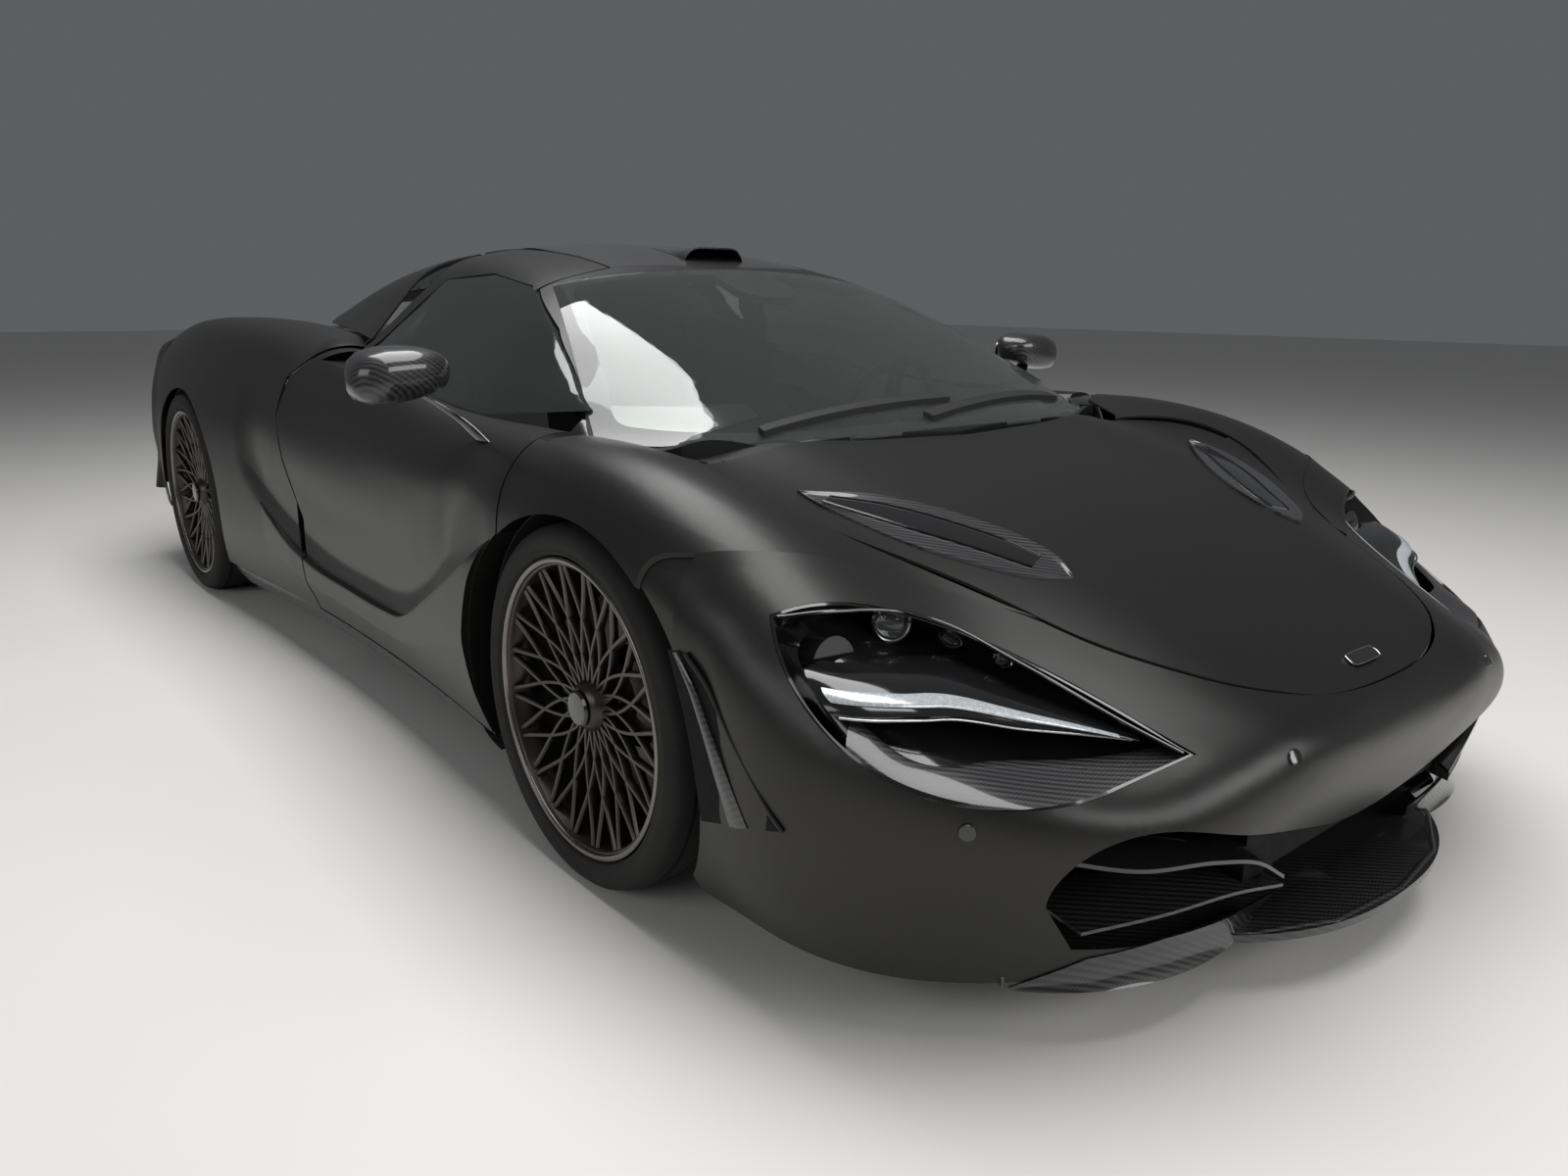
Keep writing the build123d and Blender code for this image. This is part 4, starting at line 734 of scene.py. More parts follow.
def turned(profile, centre, steps=96):
    """Closed profile swept all the way round the X axis through a centre."""
    points = swept(profile, centre, np.linspace(0, 2 * pi, steps, endpoint=False))
    return points, grid_faces(steps, len(profile), wrap_rows=True, wrap_columns=True)


def tube(path, radius, sides=12):
    """Round bar along a path: a circle square to the path at every point, with closed ends."""
    path = np.asarray(path, float)
    along = np.gradient(path, axis=0)
    along /= np.linalg.norm(along, axis=1)[:, None]
    across = np.cross(along, (0.0, 0.0, 1.0))
    across /= np.maximum(np.linalg.norm(across, axis=1), 1e-6)[:, None]
    turn = np.linspace(0, 2 * pi, sides, endpoint=False)[:, None]
    circle = np.cos(turn) * across[:, None] + np.sin(turn) * np.cross(across, along)[:, None]
    return loft(path[:, None] + radius * circle)


print("a bar of two points has", len(tube([(0, 0, 0), (0, 9, 0)], 1.0, 5)[1]), "faces")

# %% [markdown]
# ## Lower blade of the door
# A broad blade stands proud of the door behind the front wheel. Its upper edge dips in
# a V and then runs level to the rear quarter, and the channel above it lies in shadow.
# It could be a flat strip bent to shape, but a slab over (along, up) whose outer face is
# a level of the body's field keeps its crown, and its rounded upper edge catches light.
# The blade's back follows the channel, so that it reaches deep behind the upper edge.

# %% Lower blade
blade_top = curve((-1000, 612), (-905, 566), (-760, 485), (-594, 398), (-470, 336), (-405, 314),
                  (-300, 304), (-39, 300), (258, 312), (469, 360), (640, 430))
BLADE_PROUD, BLADE_BACK = 15.0, -8.0   # levels of the outer and the inner face
THIN_SHARE = 0.12    # of the full level, left at the base and at both ends
ROUND_FROM = 0.95    # share of the height where the upper edge starts to round
SWELL_UNTIL = 0.55   # share of the height where the full level is reached
hollow_z = curve((-1100, 640), (-930, 600), (-750, 528), (-594, 440), (-409, 366), (-180, 350),
                 (137, 358), (400, 410), (600, 478), (900, 600))
HOLLOW_DEPTH, HOLLOW_DROP, HOLLOW_RISE = 44.0, 46.0, 120.0   # depth, width below and width above


def hollow_form(x, y, z):
    """The body's field with the channel pressed in: a bell of the height away from its line."""
    away = z - hollow_z(y)
    fade = np.clip((y + 960) / 260, 0, 1) * np.clip((840 - y) / 260, 0, 1)
    bell = np.exp(-((away / np.where(away < 0, HOLLOW_DROP, HOLLOW_RISE)) ** 2))
    return body_form(x, y, z, HOLLOW_DEPTH * fade * bell)


def ellipse_reach(z, middle_z, half_y, half_z):
    """How far an ellipse reaches along Y from its middle at a height."""
    return half_y * np.sqrt(np.clip(1 - ((z - middle_z) / half_z) ** 2, 0, 1))


def blade(front_y, rear_y, base_z, arch=None):
    """Slab over (along, up): from the front edge to the rear, and from the base to the top edge."""
    along = np.linspace(0, 1, 60)[:, None]
    rise = np.linspace(0, 1, 36)[None, :]
    y = front_y + (rear_y - front_y) * along + 0 * rise
    for _ in range(12):
        z = base_z + (blade_top(y) - base_z) * rise
        start = np.full_like(z, front_y)
        if arch:
            start = np.maximum(start, arch[0] + ellipse_reach(z, *arch[1:]))
        y = start + (rear_y - start) * along
    round_top = np.sqrt(1 - np.clip((rise - ROUND_FROM) / (1 - ROUND_FROM), 0, 1) ** 2)
    ends = np.clip((y + 1000) / 130, 0.25, 1) * np.clip((660 - y) / 260, 0.1, 1)
    swell = np.clip(rise / SWELL_UNTIL, 0, 1) ** 1.5 * ends
    lip = BLADE_PROUD * round_top * (THIN_SHARE + (1 - THIN_SHARE) * swell)
    outer = side_at(y, z, lip)
    inner = side_at(y, z, BLADE_BACK, hollow_form)
    inner[..., 0] = np.minimum(inner[..., 0], outer[..., 0] - 0.5)
    return slab(outer, inner)


ARCH = (-1227.0, 328.0, 404.0, 353.0)   # the front arch: middle y and z, half length and height
pair("door_blade", *blade(-978.0, 300.0, 168.0, ARCH), body_paint, "door_left", "door_right")
pair("quarter_blade", *blade(309.0, 640.0, 162.0), body_paint, "chassis")
tell("lower blades")

# %% [markdown]
# ## Wheels
# The wheel is a fine lattice: forty slim ribs leave the hub in two families that lean
# opposite ways. They cross three times, which draws rings of diamonds round the hub,
# and end at the rim in close pairs. One rib is a small section carried along a path in
# polar form: its angle leads early and settles late, which gives the curve of the ribs.

# %% Wheel ribs
RIBS = 20
LEAN = 1.40   # how far a rib leans, in spaces between ribs
LEAD = 1.55   # power of the angle's early lead
HUB_RADIUS, RIM_INSET = 44, 11
DISH, DISH_RISE = 26, 22
HALF_AT_HUB, HALF_AT_RIM = 3.9, 5.6
DEPTH_AT_HUB, DEPTH_AT_RIM = 19.0, 9.0


def wheel_rib(rim_radius, face_x, start_turn, sweep):
    """Bar from hub to rim: the radius grows evenly, the angle as 1 - (1 - t) to the lead's power."""
    t = np.linspace(0, 1, 26)
    radius = HUB_RADIUS + (rim_radius - RIM_INSET - HUB_RADIUS) * t
    angle = start_turn + sweep * (1 - (1 - t) ** LEAD)
    x = face_x - DISH + DISH_RISE * t**1.8
    path = stacked(x, radius * np.cos(angle), radius * np.sin(angle))
    along = np.gradient(path, axis=0)
    along /= np.linalg.norm(along, axis=1)[:, None]
    side = np.cross(along, (1.0, 0.0, 0.0))
    half = HALF_AT_HUB + (HALF_AT_RIM - HALF_AT_HUB) * t
    depth = DEPTH_AT_RIM + (DEPTH_AT_HUB - DEPTH_AT_RIM) * (1 - t)
    section = np.array([(-1, -1), (-1, -0.25), (-0.55, 0), (0.55, 0), (1, -0.25), (1, -1)], float)
    wide = (section[None, :, 0] * half[:, None])[..., None]
    deep = (section[None, :, 1] * depth[:, None])[..., None]
    return loft(path[:, None] + side[:, None] * wide + np.array((1.0, 0.0, 0.0)) * deep)


print("a rib has", len(wheel_rib(268.0, 105.0, 0.0, 0.4)[1]), "faces")


# %% [markdown]
# ## Rim, hub, disc and tyre
# These are turned parts, so each is a closed profile of distance and radius, swept about
# the axle. Cutting a profile's corners a few times rounds them as a lathe tool would. The
# tyre's profile has a rim guard, a bulged wall, a soft shoulder and four grooves.

# %% Turned profiles
CUT = 0.2


def rounded_loop(points, steps=2):
    """Closed profile whose corners are cut a few times, each at a fifth of its sides."""
    loop = np.array(points, float)
    for _ in range(steps):
        after = np.roll(loop, -1, axis=0)
        cuts = [loop * (1 - CUT) + after * CUT, loop * CUT + after * (1 - CUT)]
        loop = np.stack(cuts, axis=1).reshape(-1, 2)
    return loop


def barrel_profile(rim, half):
    """Rim's well: two bead seats, a drop between them and an open, flared front."""
    return rounded_loop([(half - 40, rim), (half - 62, rim - 22), (-half + 50, rim - 22),
                         (-half + 30, rim), (-half + 14, rim), (-half + 14, rim - 7),
                         (-half + 44, rim - 29), (half - 56, rim - 29), (half - 26, rim - 15),
                         (half - 14, rim - 12), (half - 14, rim)])


def lip_profile(rim, half):
    """Machined ring at the rim's front edge."""
    return rounded_loop([(half - 15, rim - 9), (half - 9, rim - 7), (half - 7, rim - 1),
                         (half - 9, rim + 4), (half - 16, rim + 3), (half - 18, rim - 6)])


def hub_profile(face):
    """Wheel's centre, which widens towards the brake behind it."""
    return [(face - 92, 0.5), (face - 92, 70), (face - 60, 74), (face - 52, 60), (face - 38, 47),
            (face - 30, 44), (face - 24, 38), (face - 21, 34), (face - 21, 0.5)]


def cap_profile(face):
    """Bare domed cap."""
    return [(face - 24, 0.5), (face - 24, 33), (face - 15, 33), (face - 11, 29), (face - 10, 20),
            (face - 10, 0.5)]


def disc_profile(face):
    """Brake disc with eased edges."""
    return [(face - 124, 96), (face - 120, 190), (face - 122, 194), (face - 146, 194), (face - 148, 190),
            (face - 148, 96)]


def tyre_profile(tread_radius, rim, half):
    """Tyre's section: bead, rim guard, bulged wall, rounded shoulder and a grooved tread."""
    wall = [(half - 22, rim + 1), (half - 12, rim + 6), (half - 5, rim + 10), (half - 3, rim + 14),
            (half - 4, rim + 18), (half - 1, rim + 26), (half, rim + 34), (half - 2, tread_radius - 22),
            (half - 7, tread_radius - 12), (half - 14, tread_radius - 5.5), (half - 24, tread_radius - 2.2),
            (half - 34, tread_radius - 0.9)]
    tread = []
    for groove in np.linspace(half - 50, -half + 50, 4):
        tread += [(groove + 5.5, tread_radius), (groove + 4.5, tread_radius - 6),
                  (groove - 4.5, tread_radius - 6), (groove - 5.5, tread_radius)]
    far_wall = [(-along, radius) for along, radius in reversed(wall)]
    bore = [(-half + 40, rim + 1), (-half + 40, rim + 14), (half - 40, rim + 14), (half - 40, rim + 1)]
    return wall + tread + far_wall + bore


print("the tyre's section has", len(tyre_profile(328.0, 268.0, 121.0)), "points")

# %% [markdown]
# ## Four wheels
# Front and rear wheels differ only in size, and the right ones are mirrored. The lattice
# stands for the CAD rim and the tyre for the CAD tyre, and all of it rides on the wheel.

# %% Wheels
FACE_INSET = 6


def lattice(rim, face):
    """Both families of ribs round the X axis."""
    pitch = 2 * pi / RIBS
    return joined(*[wheel_rib(rim, face - 10, k * pitch, lean * LEAN * pitch)
                    for k in range(RIBS) for lean in (1, -1)])


def wheel_shapes(centre, tyre_radius, rim, width):
    """A left wheel's shapes: name, points and faces, finish, and what it stands for."""
    half = width / 2
    face = half - FACE_INSET
    points, faces = lattice(rim, face)
    whole = joined((points + centre, faces), turned(hub_profile(face), centre),
                   turned(barrel_profile(rim, half), centre))
    return (("wheel_lattice", whole, wheel_metal, "rim"),
            ("wheel_lip", turned(lip_profile(rim, half), centre, 128), lip_metal, None),
            ("wheel_cap", turned(cap_profile(face), centre, 64), gloss_black, None),
            ("brake_disc", turned(disc_profile(face), centre, 128), disc_metal, None),
            ("tyre", turned(tyre_profile(tyre_radius, rim, half), centre, 160), rubber, "tyre"))


for side, mirror in (("left", 1.0), ("right", -1.0)):
    for end, sizes in WHEELS.items():
        for name, (points, faces), finish, node in wheel_shapes(*sizes):
            spots = points * np.array((mirror, 1.0, 1.0))
            replaced = [f"{end}_{node}_{side}"] if node else []
            piece_from(f"{name}_{end}_{side}", spots, faces, finish, f"{end}_wheel_{side}", replaced)
tell("wheels")

# %% [markdown]
# ## Lines and strips
# Small parts of the body follow drawn lines. A line through a few points is made smooth
# with the same cubic as the form, then laid on the nose, and a strip is the grid of
# points between two such lines. Two lines are easier to draw and to change than a patch.

# %% Lines and strips
UP = np.array((0.0, 0.0, 1.0))


def flowing(points, count, straight=False):
    """Line through points, spaced by distance: a cubic for each coordinate, or straight runs."""
    points = np.array(points, float)
    reached = np.concatenate(([0], np.cumsum(np.linalg.norm(np.diff(points, axis=0), axis=1))))
    t = np.linspace(0, reached[-1], count)
    if straight:
        return np.stack([np.interp(t, reached, values) for values in points.T], axis=-1)
    return np.stack([curve(*zip(reached, values))(t) for values in points.T], axis=-1)


def on_nose(points, level=0.0):
    """The points moved level with the nose: each keeps its height and its azimuth."""
    points = np.asarray(points, float)
    azimuth = np.degrees(np.arctan2(points[..., 0], -(points[..., 1] - NOSE_PIVOT_Y)))
    return nose_at(azimuth, points[..., 2], level)


def between(first, second, across):
    """Grid whose columns go from one line to another at the given shares of the way."""
    share = np.asarray(across, float)[None, :, None]
    return first[:, None] * (1 - share) + second[:, None] * share


def sheet(outer, x=0.0, y=0.0, z=0.0):
    """Slab between a grid and the same grid moved back by a thickness."""
    return slab(outer, outer - np.array((x, y, z)))


print("a strip of two lines:", between(np.zeros((4, 3)), np.ones((4, 3)), (0, 0.5, 1)).shape)

# %% [markdown]
# ## Headlamps
# Each headlamp lies deep in a dark socket shaped like an eye. A lit blade crosses it, and
# below the blade an open slot leads air to a radiator over a lip of carbon fibre. Blade
# and lip are strips sunk to a level below the nose, which a ray finds for every point, so
# they keep its crown. Points are given on the car's left and mirrored.

# %% Headlamps
BLADE_TIP = (520, -2085)
LID = flowing([(876, -1716, 600), (754, -1753, 603), (660, -1835, 570), (560, -1930, 516),
               (512, -2060, 460), (486, -2140, 431)], 60)
BLADE_UP = flowing([(890, -1785, 540), (767, -1883, 521), (620, -1969, 480), (*BLADE_TIP, 444)], 50)
BLADE_LOW = flowing([(888, -1850, 490), (809, -1925, 486), (655, -1999, 457), (*BLADE_TIP, 441)], 50)
LIP_IN = flowing([(884, -1868, 486), (845, -1955, 440), (776, -2018, 428), (634, -2074, 418),
                  (497, -2134, 427)], 50)
LIP_OUT = flowing([(884, -1884, 450), (832, -1980, 409), (740, -2057, 399), (610, -2110, 403),
                   (490, -2139, 430)], 50)

lamp_lit = Finish("lit_lamp_blade", coat_weight=0.9, coat_roughness=0.03, metallic=0.3)
lit_grain = lamp_lit.noise(160.0, 1.0)
lamp_lit.set("base_color", lamp_lit.mix(lit_grain, (0.42, 0.44, 0.46), (0.66, 0.68, 0.70)))
lamp_lit.set("roughness", 0.16 + 0.2 * lit_grain)

across = np.linspace(0, 1, 11)
housing = between(BLADE_UP, BLADE_LOW, across)
housing_level = -20.0 + 7.0 * np.sqrt(np.clip(1 - (2 * across - 1) ** 2, 0, 1))
pair("lamp_blade_housing", *slab(on_nose(housing, housing_level), on_nose(housing, -52.0)),
     gloss_black, "chassis")
core = between(BLADE_UP, BLADE_LOW, np.linspace(0.30, 0.62, 7))[2:-3]
core_level = -11.5 + 3.0 * np.sin(np.linspace(0, pi, 7))
pair("lamp_blade", *slab(on_nose(core, core_level), on_nose(core, -18.0)), lamp_lit, "chassis")
pair("lamp_blade_edge", *tube(on_nose(BLADE_LOW[1:-1], -17.0), 2.0), bright_metal, "chassis")

across = np.linspace(0, 1, 13)
lip = between(LIP_IN, LIP_OUT, across)
lip_level = -34.0 * (1 - across) ** 1.4 - 0.6
pair("lamp_lip", *slab(on_nose(lip, lip_level), on_nose(lip, lip_level - 5.0)), carbon, "chassis")
pair("lamp_rim_top", *tube(on_nose(LID[1:-1], -2.0), 3.0, 10), gloss_black, "chassis")
tell("headlamps")

# %% [markdown]
# ## Projectors
# Three projector lenses, each smaller than the last, look out from under the upper lid.
# A lens is a turned part too, but about its own line of sight, so its profiles are swept
# round that line: a barrel with a rolled edge, a bright ring and a domed glass.

# %% Projectors
def spun(profile, place, aim, side, over, steps):
    """Profile of (distance along the aim, radius) swept round the aim; its two ends stay open."""
    along, away = np.array(profile, float).T
    turn = np.linspace(0, 2 * pi, steps, endpoint=False)[:, None, None]
    spoke = np.cos(turn) * side + np.sin(turn) * over
    points = place + along[None, :, None] * aim + away[None, :, None] * spoke
    return points, grid_faces(steps, len(profile), wrap_rows=True)


def lens_stack(place, aim, r):
    """Glass, barrel and ring of a projector of radius r that looks along its aim."""
    aim = np.array(aim, float) / np.linalg.norm(aim)
    side = np.cross(aim, UP)
    side /= np.linalg.norm(side)
    dome = [(0.55 * r * cos(a) + 2, 0.9 * r * sin(a)) for a in np.linspace(pi / 2, 0.02, 10)]
    profiles = ([(-6, 0.3), (-6, 0.9 * r), *dome],
                [(-40, 0.6 * r), (-6, 1.12 * r), (2, 1.18 * r), (4, 1.08 * r), (0, 0.95 * r),
                 (-8, 0.93 * r)],
                [(3, 1.08 * r), (5, 1.04 * r), (4, 0.97 * r), (1, 0.95 * r)])
    return [spun(profile, place, aim, side, np.cross(side, aim), 48) for profile in profiles]


LENSES = [((800, -1800, 566), 27.0), ((715, -1862, 545), 21.0), ((640, -1925, 517), 15.0)]
LENS_DEPTH = -42.0
LINE_OF_SIGHT = (0.45, -0.85, 0.1)
LENS_PARTS = (("glass", lamp_glass), ("barrel", gloss_black), ("ring", bright_metal))
for number, (place, radius) in enumerate(LENSES):
    stack = lens_stack(on_nose(place, LENS_DEPTH), LINE_OF_SIGHT, radius)
    for (part, finish), shape in zip(LENS_PARTS, stack):
        pair(f"projector_{part}_{number}", *shape, finish, "chassis")
tell("projectors")

# %% [markdown]
# ## Front intake
# The wide mouth is dark inside, and a mesh of wire closes the radiators. Real mesh is
# woven or pressed. Slanted bars that cross, each cut off at the edge of a rectangle, give
# the same look with few faces. A cambered wing and a carbon shelf cross each corner.

# %% Intake
mesh_black = mottled(Finish("mesh_black", metallic=0.4, specular=0.4),
                     ((0.006, 0.006, 0.006), (0.012, 0.012, 0.012)), 40.0, (0.42, 0.1), 90.0)
WIRE_RADIUS = 1.8
SHORTEST_BAR = 0.05   # as a share of a whole bar


def mesh_panel(low_x, high_x, low_z, high_z, y, pitch):
    """Crossing slanted bars, cut off where they leave an upright rectangle."""
    bars = []
    height = high_z - low_z
    for lean in (1, -1):
        for start in np.arange(low_x - height, high_x, pitch):
            x0, x1 = (start, start + height)[::lean]
            cuts = sorted(((low_x - x0) / (x1 - x0), (high_x - x0) / (x1 - x0)))
            low_t, high_t = max(0.0, cuts[0]), min(1.0, cuts[1])
            if high_t - low_t > SHORTEST_BAR:
                line = [(x0 + (x1 - x0) * t, y - 2 * lean, low_z + height * t) for t in (low_t, high_t)]
                bars.append(tube(line, WIRE_RADIUS, 5))
    return joined(*bars)


pair("corner_mesh", *mesh_panel(430, 700, 160, 350, -1965, 15), mesh_black, "chassis")
piece_from("centre_mesh", *mesh_panel(-430, 430, 135, 250, -2020, 15), mesh_black, "chassis")

wing_front = flowing([(700, -2085, 322), (600, -2150, 300), (470, -2190, 286), (380, -2205, 262),
                      (300, -2208, 214)], 40)
wing = between(wing_front, wing_front + np.array((10.0, 95.0, 34.0)), np.linspace(0, 1, 9))
camber = 8 * np.sin(np.linspace(0, pi, 9))[:, None] * UP
pair("mouth_wing", *slab(wing + camber, wing + camber * 0.5 - 6 * UP), gloss_black, "chassis")
shelf_front = flowing([(640, -2098, 196), (520, -2150, 205), (400, -2190, 214), (300, -2208, 200)], 40)
shelf = between(shelf_front, shelf_front + np.array((0.0, 110.0, 18.0)), np.linspace(0, 1, 7))
pair("mouth_shelf", *sheet(shelf, z=5.0), carbon, "chassis")
tell("intake")

# %% [markdown]
# ## Sensors and badge
# Parking sensors are shallow round buttons that lie flush in the bumper. Two short steps
# on the nose give the slope under each, so it leans with the skin. The bonnet's badge
# stays blank: a squared oval plate with a thin bright rim, both laid on the bonnet.

# %% Sensors and badge
STEP = 2.0


def disc_on_nose(place, radius, proud, finish, name):
    """Shallow round button that lies on the nose, made for both sides."""
    spot, near, high = (on_nose(np.array(place, float) + np.array(shift))
                        for shift in ((0.0, 0.0, 0.0), (STEP, -0.4 * STEP, 0.0), (0.0, 0.0, STEP)))
    near, high = ((end - spot) / np.linalg.norm(end - spot) for end in (near, high))
    aim = np.cross(near, high)
    aim *= -np.sign(aim[1]) / np.linalg.norm(aim)
    profile = [(proud, 0.01 * radius), (proud, 0.8 * radius), (0.8 * proud, 0.95 * radius),
               (0.0, radius), (-4.0, radius)]
    pair(name, *spun(profile, spot, aim, near, high, 40), finish, "chassis")


disc_on_nose((804, -2026, 369), 12.0, 1.6, gloss_black, "outer_sensor")
disc_on_nose((349, -2221, 420), 12.0, 1.6, gloss_black, "inner_sensor")

BADGE_HALF, BADGE_TALL, BADGE_SLANT, BADGE_Y = 46.0, 11.0, 3.0, -2152.0
u = np.linspace(-1, 1, 41)[:, None]
v = np.linspace(-1, 1, 9)[None, :]
plate_y = BADGE_Y + BADGE_TALL * v * np.sqrt(np.clip(1 - u**6, 0, 1))
plate = top_at(BADGE_HALF * u + BADGE_SLANT * v, plate_y, 2.6)
piece_from("blank_badge", *sheet(plate, z=3.0), gloss_black, "bonnet")
turn = np.linspace(0, 2 * pi, 72)
squarish = 1 / np.maximum(np.abs(np.cos(turn)), np.abs(np.sin(turn))) ** 0.72
rim_x = BADGE_HALF * 1.02 * np.clip(np.cos(turn) * squarish, -1, 1) + BADGE_SLANT * np.sin(turn)
rim_y = BADGE_Y + BADGE_TALL * 1.1 * np.clip(np.sin(turn) * squarish, -1, 1)
piece_from("badge_rim", *tube(top_at(rim_x, rim_y, 2.2), 1.1, 8), bright_metal, "bonnet")
tell("sensors and badge")

# %% [markdown]
# ## Bonnet vents
# Two long leaves of carbon fibre frame the vents in the bonnet's valleys, and a dark slot
# with a ridge on either side runs down the middle of each. Leaf and slot are strips
# between the same two lines, raised by a bell of the distance from the leaf's edge.

# %% Bonnet vents
VENT_IN = flowing([(606, -1446), (530, -1500), (447, -1575), (385, -1660), (352, -1735), (346, -1800),
                   (372, -1850)], 50)
VENT_OUT = flowing([(606, -1446), (612, -1500), (596, -1580), (560, -1668), (500, -1750), (440, -1815),
                    (372, -1850)], 50)
SLOT_PART = slice(6, -8)


def vent_grid(across, level):
    """Strip of the vent at shares of the way across, at a level above the bonnet."""
    flat = between(VENT_IN, VENT_OUT, across)
    return top_at(flat[..., 0], flat[..., 1], level)


across = np.linspace(0, 1, 25)
leaf_level = 0.9 + 3.6 * np.exp(-((np.minimum(across, 1 - across) / 0.16) ** 2))
pair("vent_leaf", *slab(vent_grid(across, leaf_level), vent_grid(across, -1.0)), carbon_gloss, "bonnet")
slot = vent_grid(np.linspace(0.30, 0.66, 9), 2.2)[SLOT_PART]
pair("vent_slot", *sheet(slot, z=2.0), gloss_black, "bonnet")
ridges = vent_grid((0.27, 0.69), 2.6)[SLOT_PART]
for number in range(2):
    pair(f"vent_ridge_{number}", *tube(ridges[:, number], 2.0, 8), gloss_black, "bonnet")
tell("bonnet vents")

# %% [markdown]
# ## Air curtains
# A tall slot stands ahead of each front wheel and feeds a sheet of air round it. The slot is
# not cut: a matt black panel on the skin is painted shade for its dark inside, and a rolled
# lip in front and a carbon blade down the middle give it an edge to catch light.

# %% Air curtains
SLOT_REAR = flowing([(-1556, 526), (-1578, 474), (-1606, 400), (-1622, 330), (-1628, 274)], 40)
SLOT_FRONT = flowing([(-1600, 530), (-1652, 492), (-1694, 440), (-1742, 388), (-1806, 322)], 40)


def curtain_grid(across, level):
    """Strip of the slot at shares of the way from its rear to its front edge."""
    flat = between(SLOT_REAR, SLOT_FRONT, across)
    return side_at(flat[..., 0], flat[..., 1], level)


# Painted shade: a black sheet on the skin where the open slot's shadowed inside would be.
pair("curtain_shade_panel", *sheet(curtain_grid(np.linspace(0, 1, 15), 1.2), x=4.0), black_with_painted_shade, "chassis")
pair("curtain_lip", *tube(side_at(*SLOT_FRONT.T, 2.5), 3.2, 10), body_paint, "chassis")
blade_level = 5.0 + 3.0 * np.sin(np.linspace(0, pi, 7))
pair("curtain_blade", *sheet(curtain_grid(np.linspace(0.40, 0.62, 7), blade_level), x=6.0),
     carbon_gloss, "chassis")
tell("air curtains")

# %% [markdown]
# ## Filling panels
# Thin panels lie a skin's thickness below the body where several outer panels meet, so
# that no gap shows bare structure: over the front arch, beside the windscreen's foot
# and along the cowl under the wipers. On a real car these are the folded flanges of the
# panels. Each is a grid over two coordinates, dropped on the form below its surface.

# %% Filling panels
SKIN_UNDER = -6.5
THIN = 3.0
FLANGE = (328.0, 400.0, 350.0)   # an ellipse just inside the arch: middle z, half length and height
share = np.linspace(0, 1, 24)
down, along = share[:, None], share[None, :]

corner_z = 470 + 168 * down
arch_front = ARCH[0] - ellipse_reach(corner_z, *FLANGE)
corner = side_at(arch_front + along * (-1690 - arch_front), corner_z, SKIN_UNDER)
pair("arch_corner", *sheet(corner, x=THIN), body_paint, "chassis")
pair("arch_crown", *sheet(top_at(640 + 288 * down, -1700 + 210 * along, SKIN_UNDER), z=THIN),
     body_paint, "chassis")

pillar_y = -1110 + 190 * down
pillar_z = 720 + (np.minimum(818.0, roof_z(pillar_y) - 40) - 720) * along
pair("pillar_foot", *sheet(side_at(pillar_y, pillar_z, -9.0, cabin_form), x=THIN), gloss_black, "chassis")
pair("screen_foot", *sheet(top_at(715 + 125 * down, -1150 + 165 * along, SKIN_UNDER), z=THIN),
     gloss_black, "chassis")

cowl_x = np.linspace(-640, 640, 61)[:, None]
cowl_y = -1308 + 0.00012 * cowl_x**2 + np.linspace(0, 130, 12)[None, :]
piece_from("cowl_panel", *sheet(top_at(cowl_x, cowl_y, SKIN_UNDER - 1), z=THIN), moulded, "chassis")
tell("filling panels")

# %% [markdown]
# ## Windscreen border
# A black printed band runs round the inside of the windscreen, widest at its foot and
# head, and hides where the pane is glued to the frame. It is a closed ring of thin strip
# between the pane's outline and the same outline drawn towards its middle.

# %% Windscreen border
SCREEN_EDGE = [(0, -1258), (230, -1246), (400, -1222), (520, -1183), (620, -1128), (700, -1055),
               (735, -1008), (690, -880), (640, -745), (580, -595), (512, -446), (400, -452),
               (250, -464), (0, -476)]
SCREEN_MIDDLE = np.array((0.0, -860.0))
BAND_WIDTH = 0.085   # as a share of the way to the middle
BAND_THICK = 0.8
PANE_UNDER = -5.9    # level just under the pane

edge_half = flowing(SCREEN_EDGE, 120)
edge = np.concatenate([edge_half, edge_half[-2:0:-1] * np.array((-1.0, 1.0))])
flat = between(edge, edge + BAND_WIDTH * (SCREEN_MIDDLE - edge), np.linspace(0, 1, 6))
band = top_at(flat[..., 0], flat[..., 1], PANE_UNDER, cabin_form)
band = np.concatenate([band, band[:, ::-1] - BAND_THICK * UP], axis=1)
band_faces = grid_faces(*band.shape[:2], wrap_rows=True, wrap_columns=True)
piece_from("screen_border", band, band_faces, moulded, "chassis")

pad_x = np.linspace(-95, 95, 21)[:, None]
pad_y = -500 - np.linspace(0, 150, 12)[None, :] * np.sqrt(1 - (pad_x / 130) ** 2)
pad = top_at(pad_x, pad_y, PANE_UNDER - 0.3, cabin_form)
piece_from("screen_sensor_pad", *sheet(pad, z=18.0), moulded, "chassis")
tell("windscreen")

# %% [markdown]
# ## Door mirrors
# The pod is a rounded box, blunt in front and flat behind, in glossy carbon fibre. It is
# a row of squared ovals whose half sizes are listed from the door outwards. A slim arm,
# wide along the car and thin across it, joins its foot to the door.

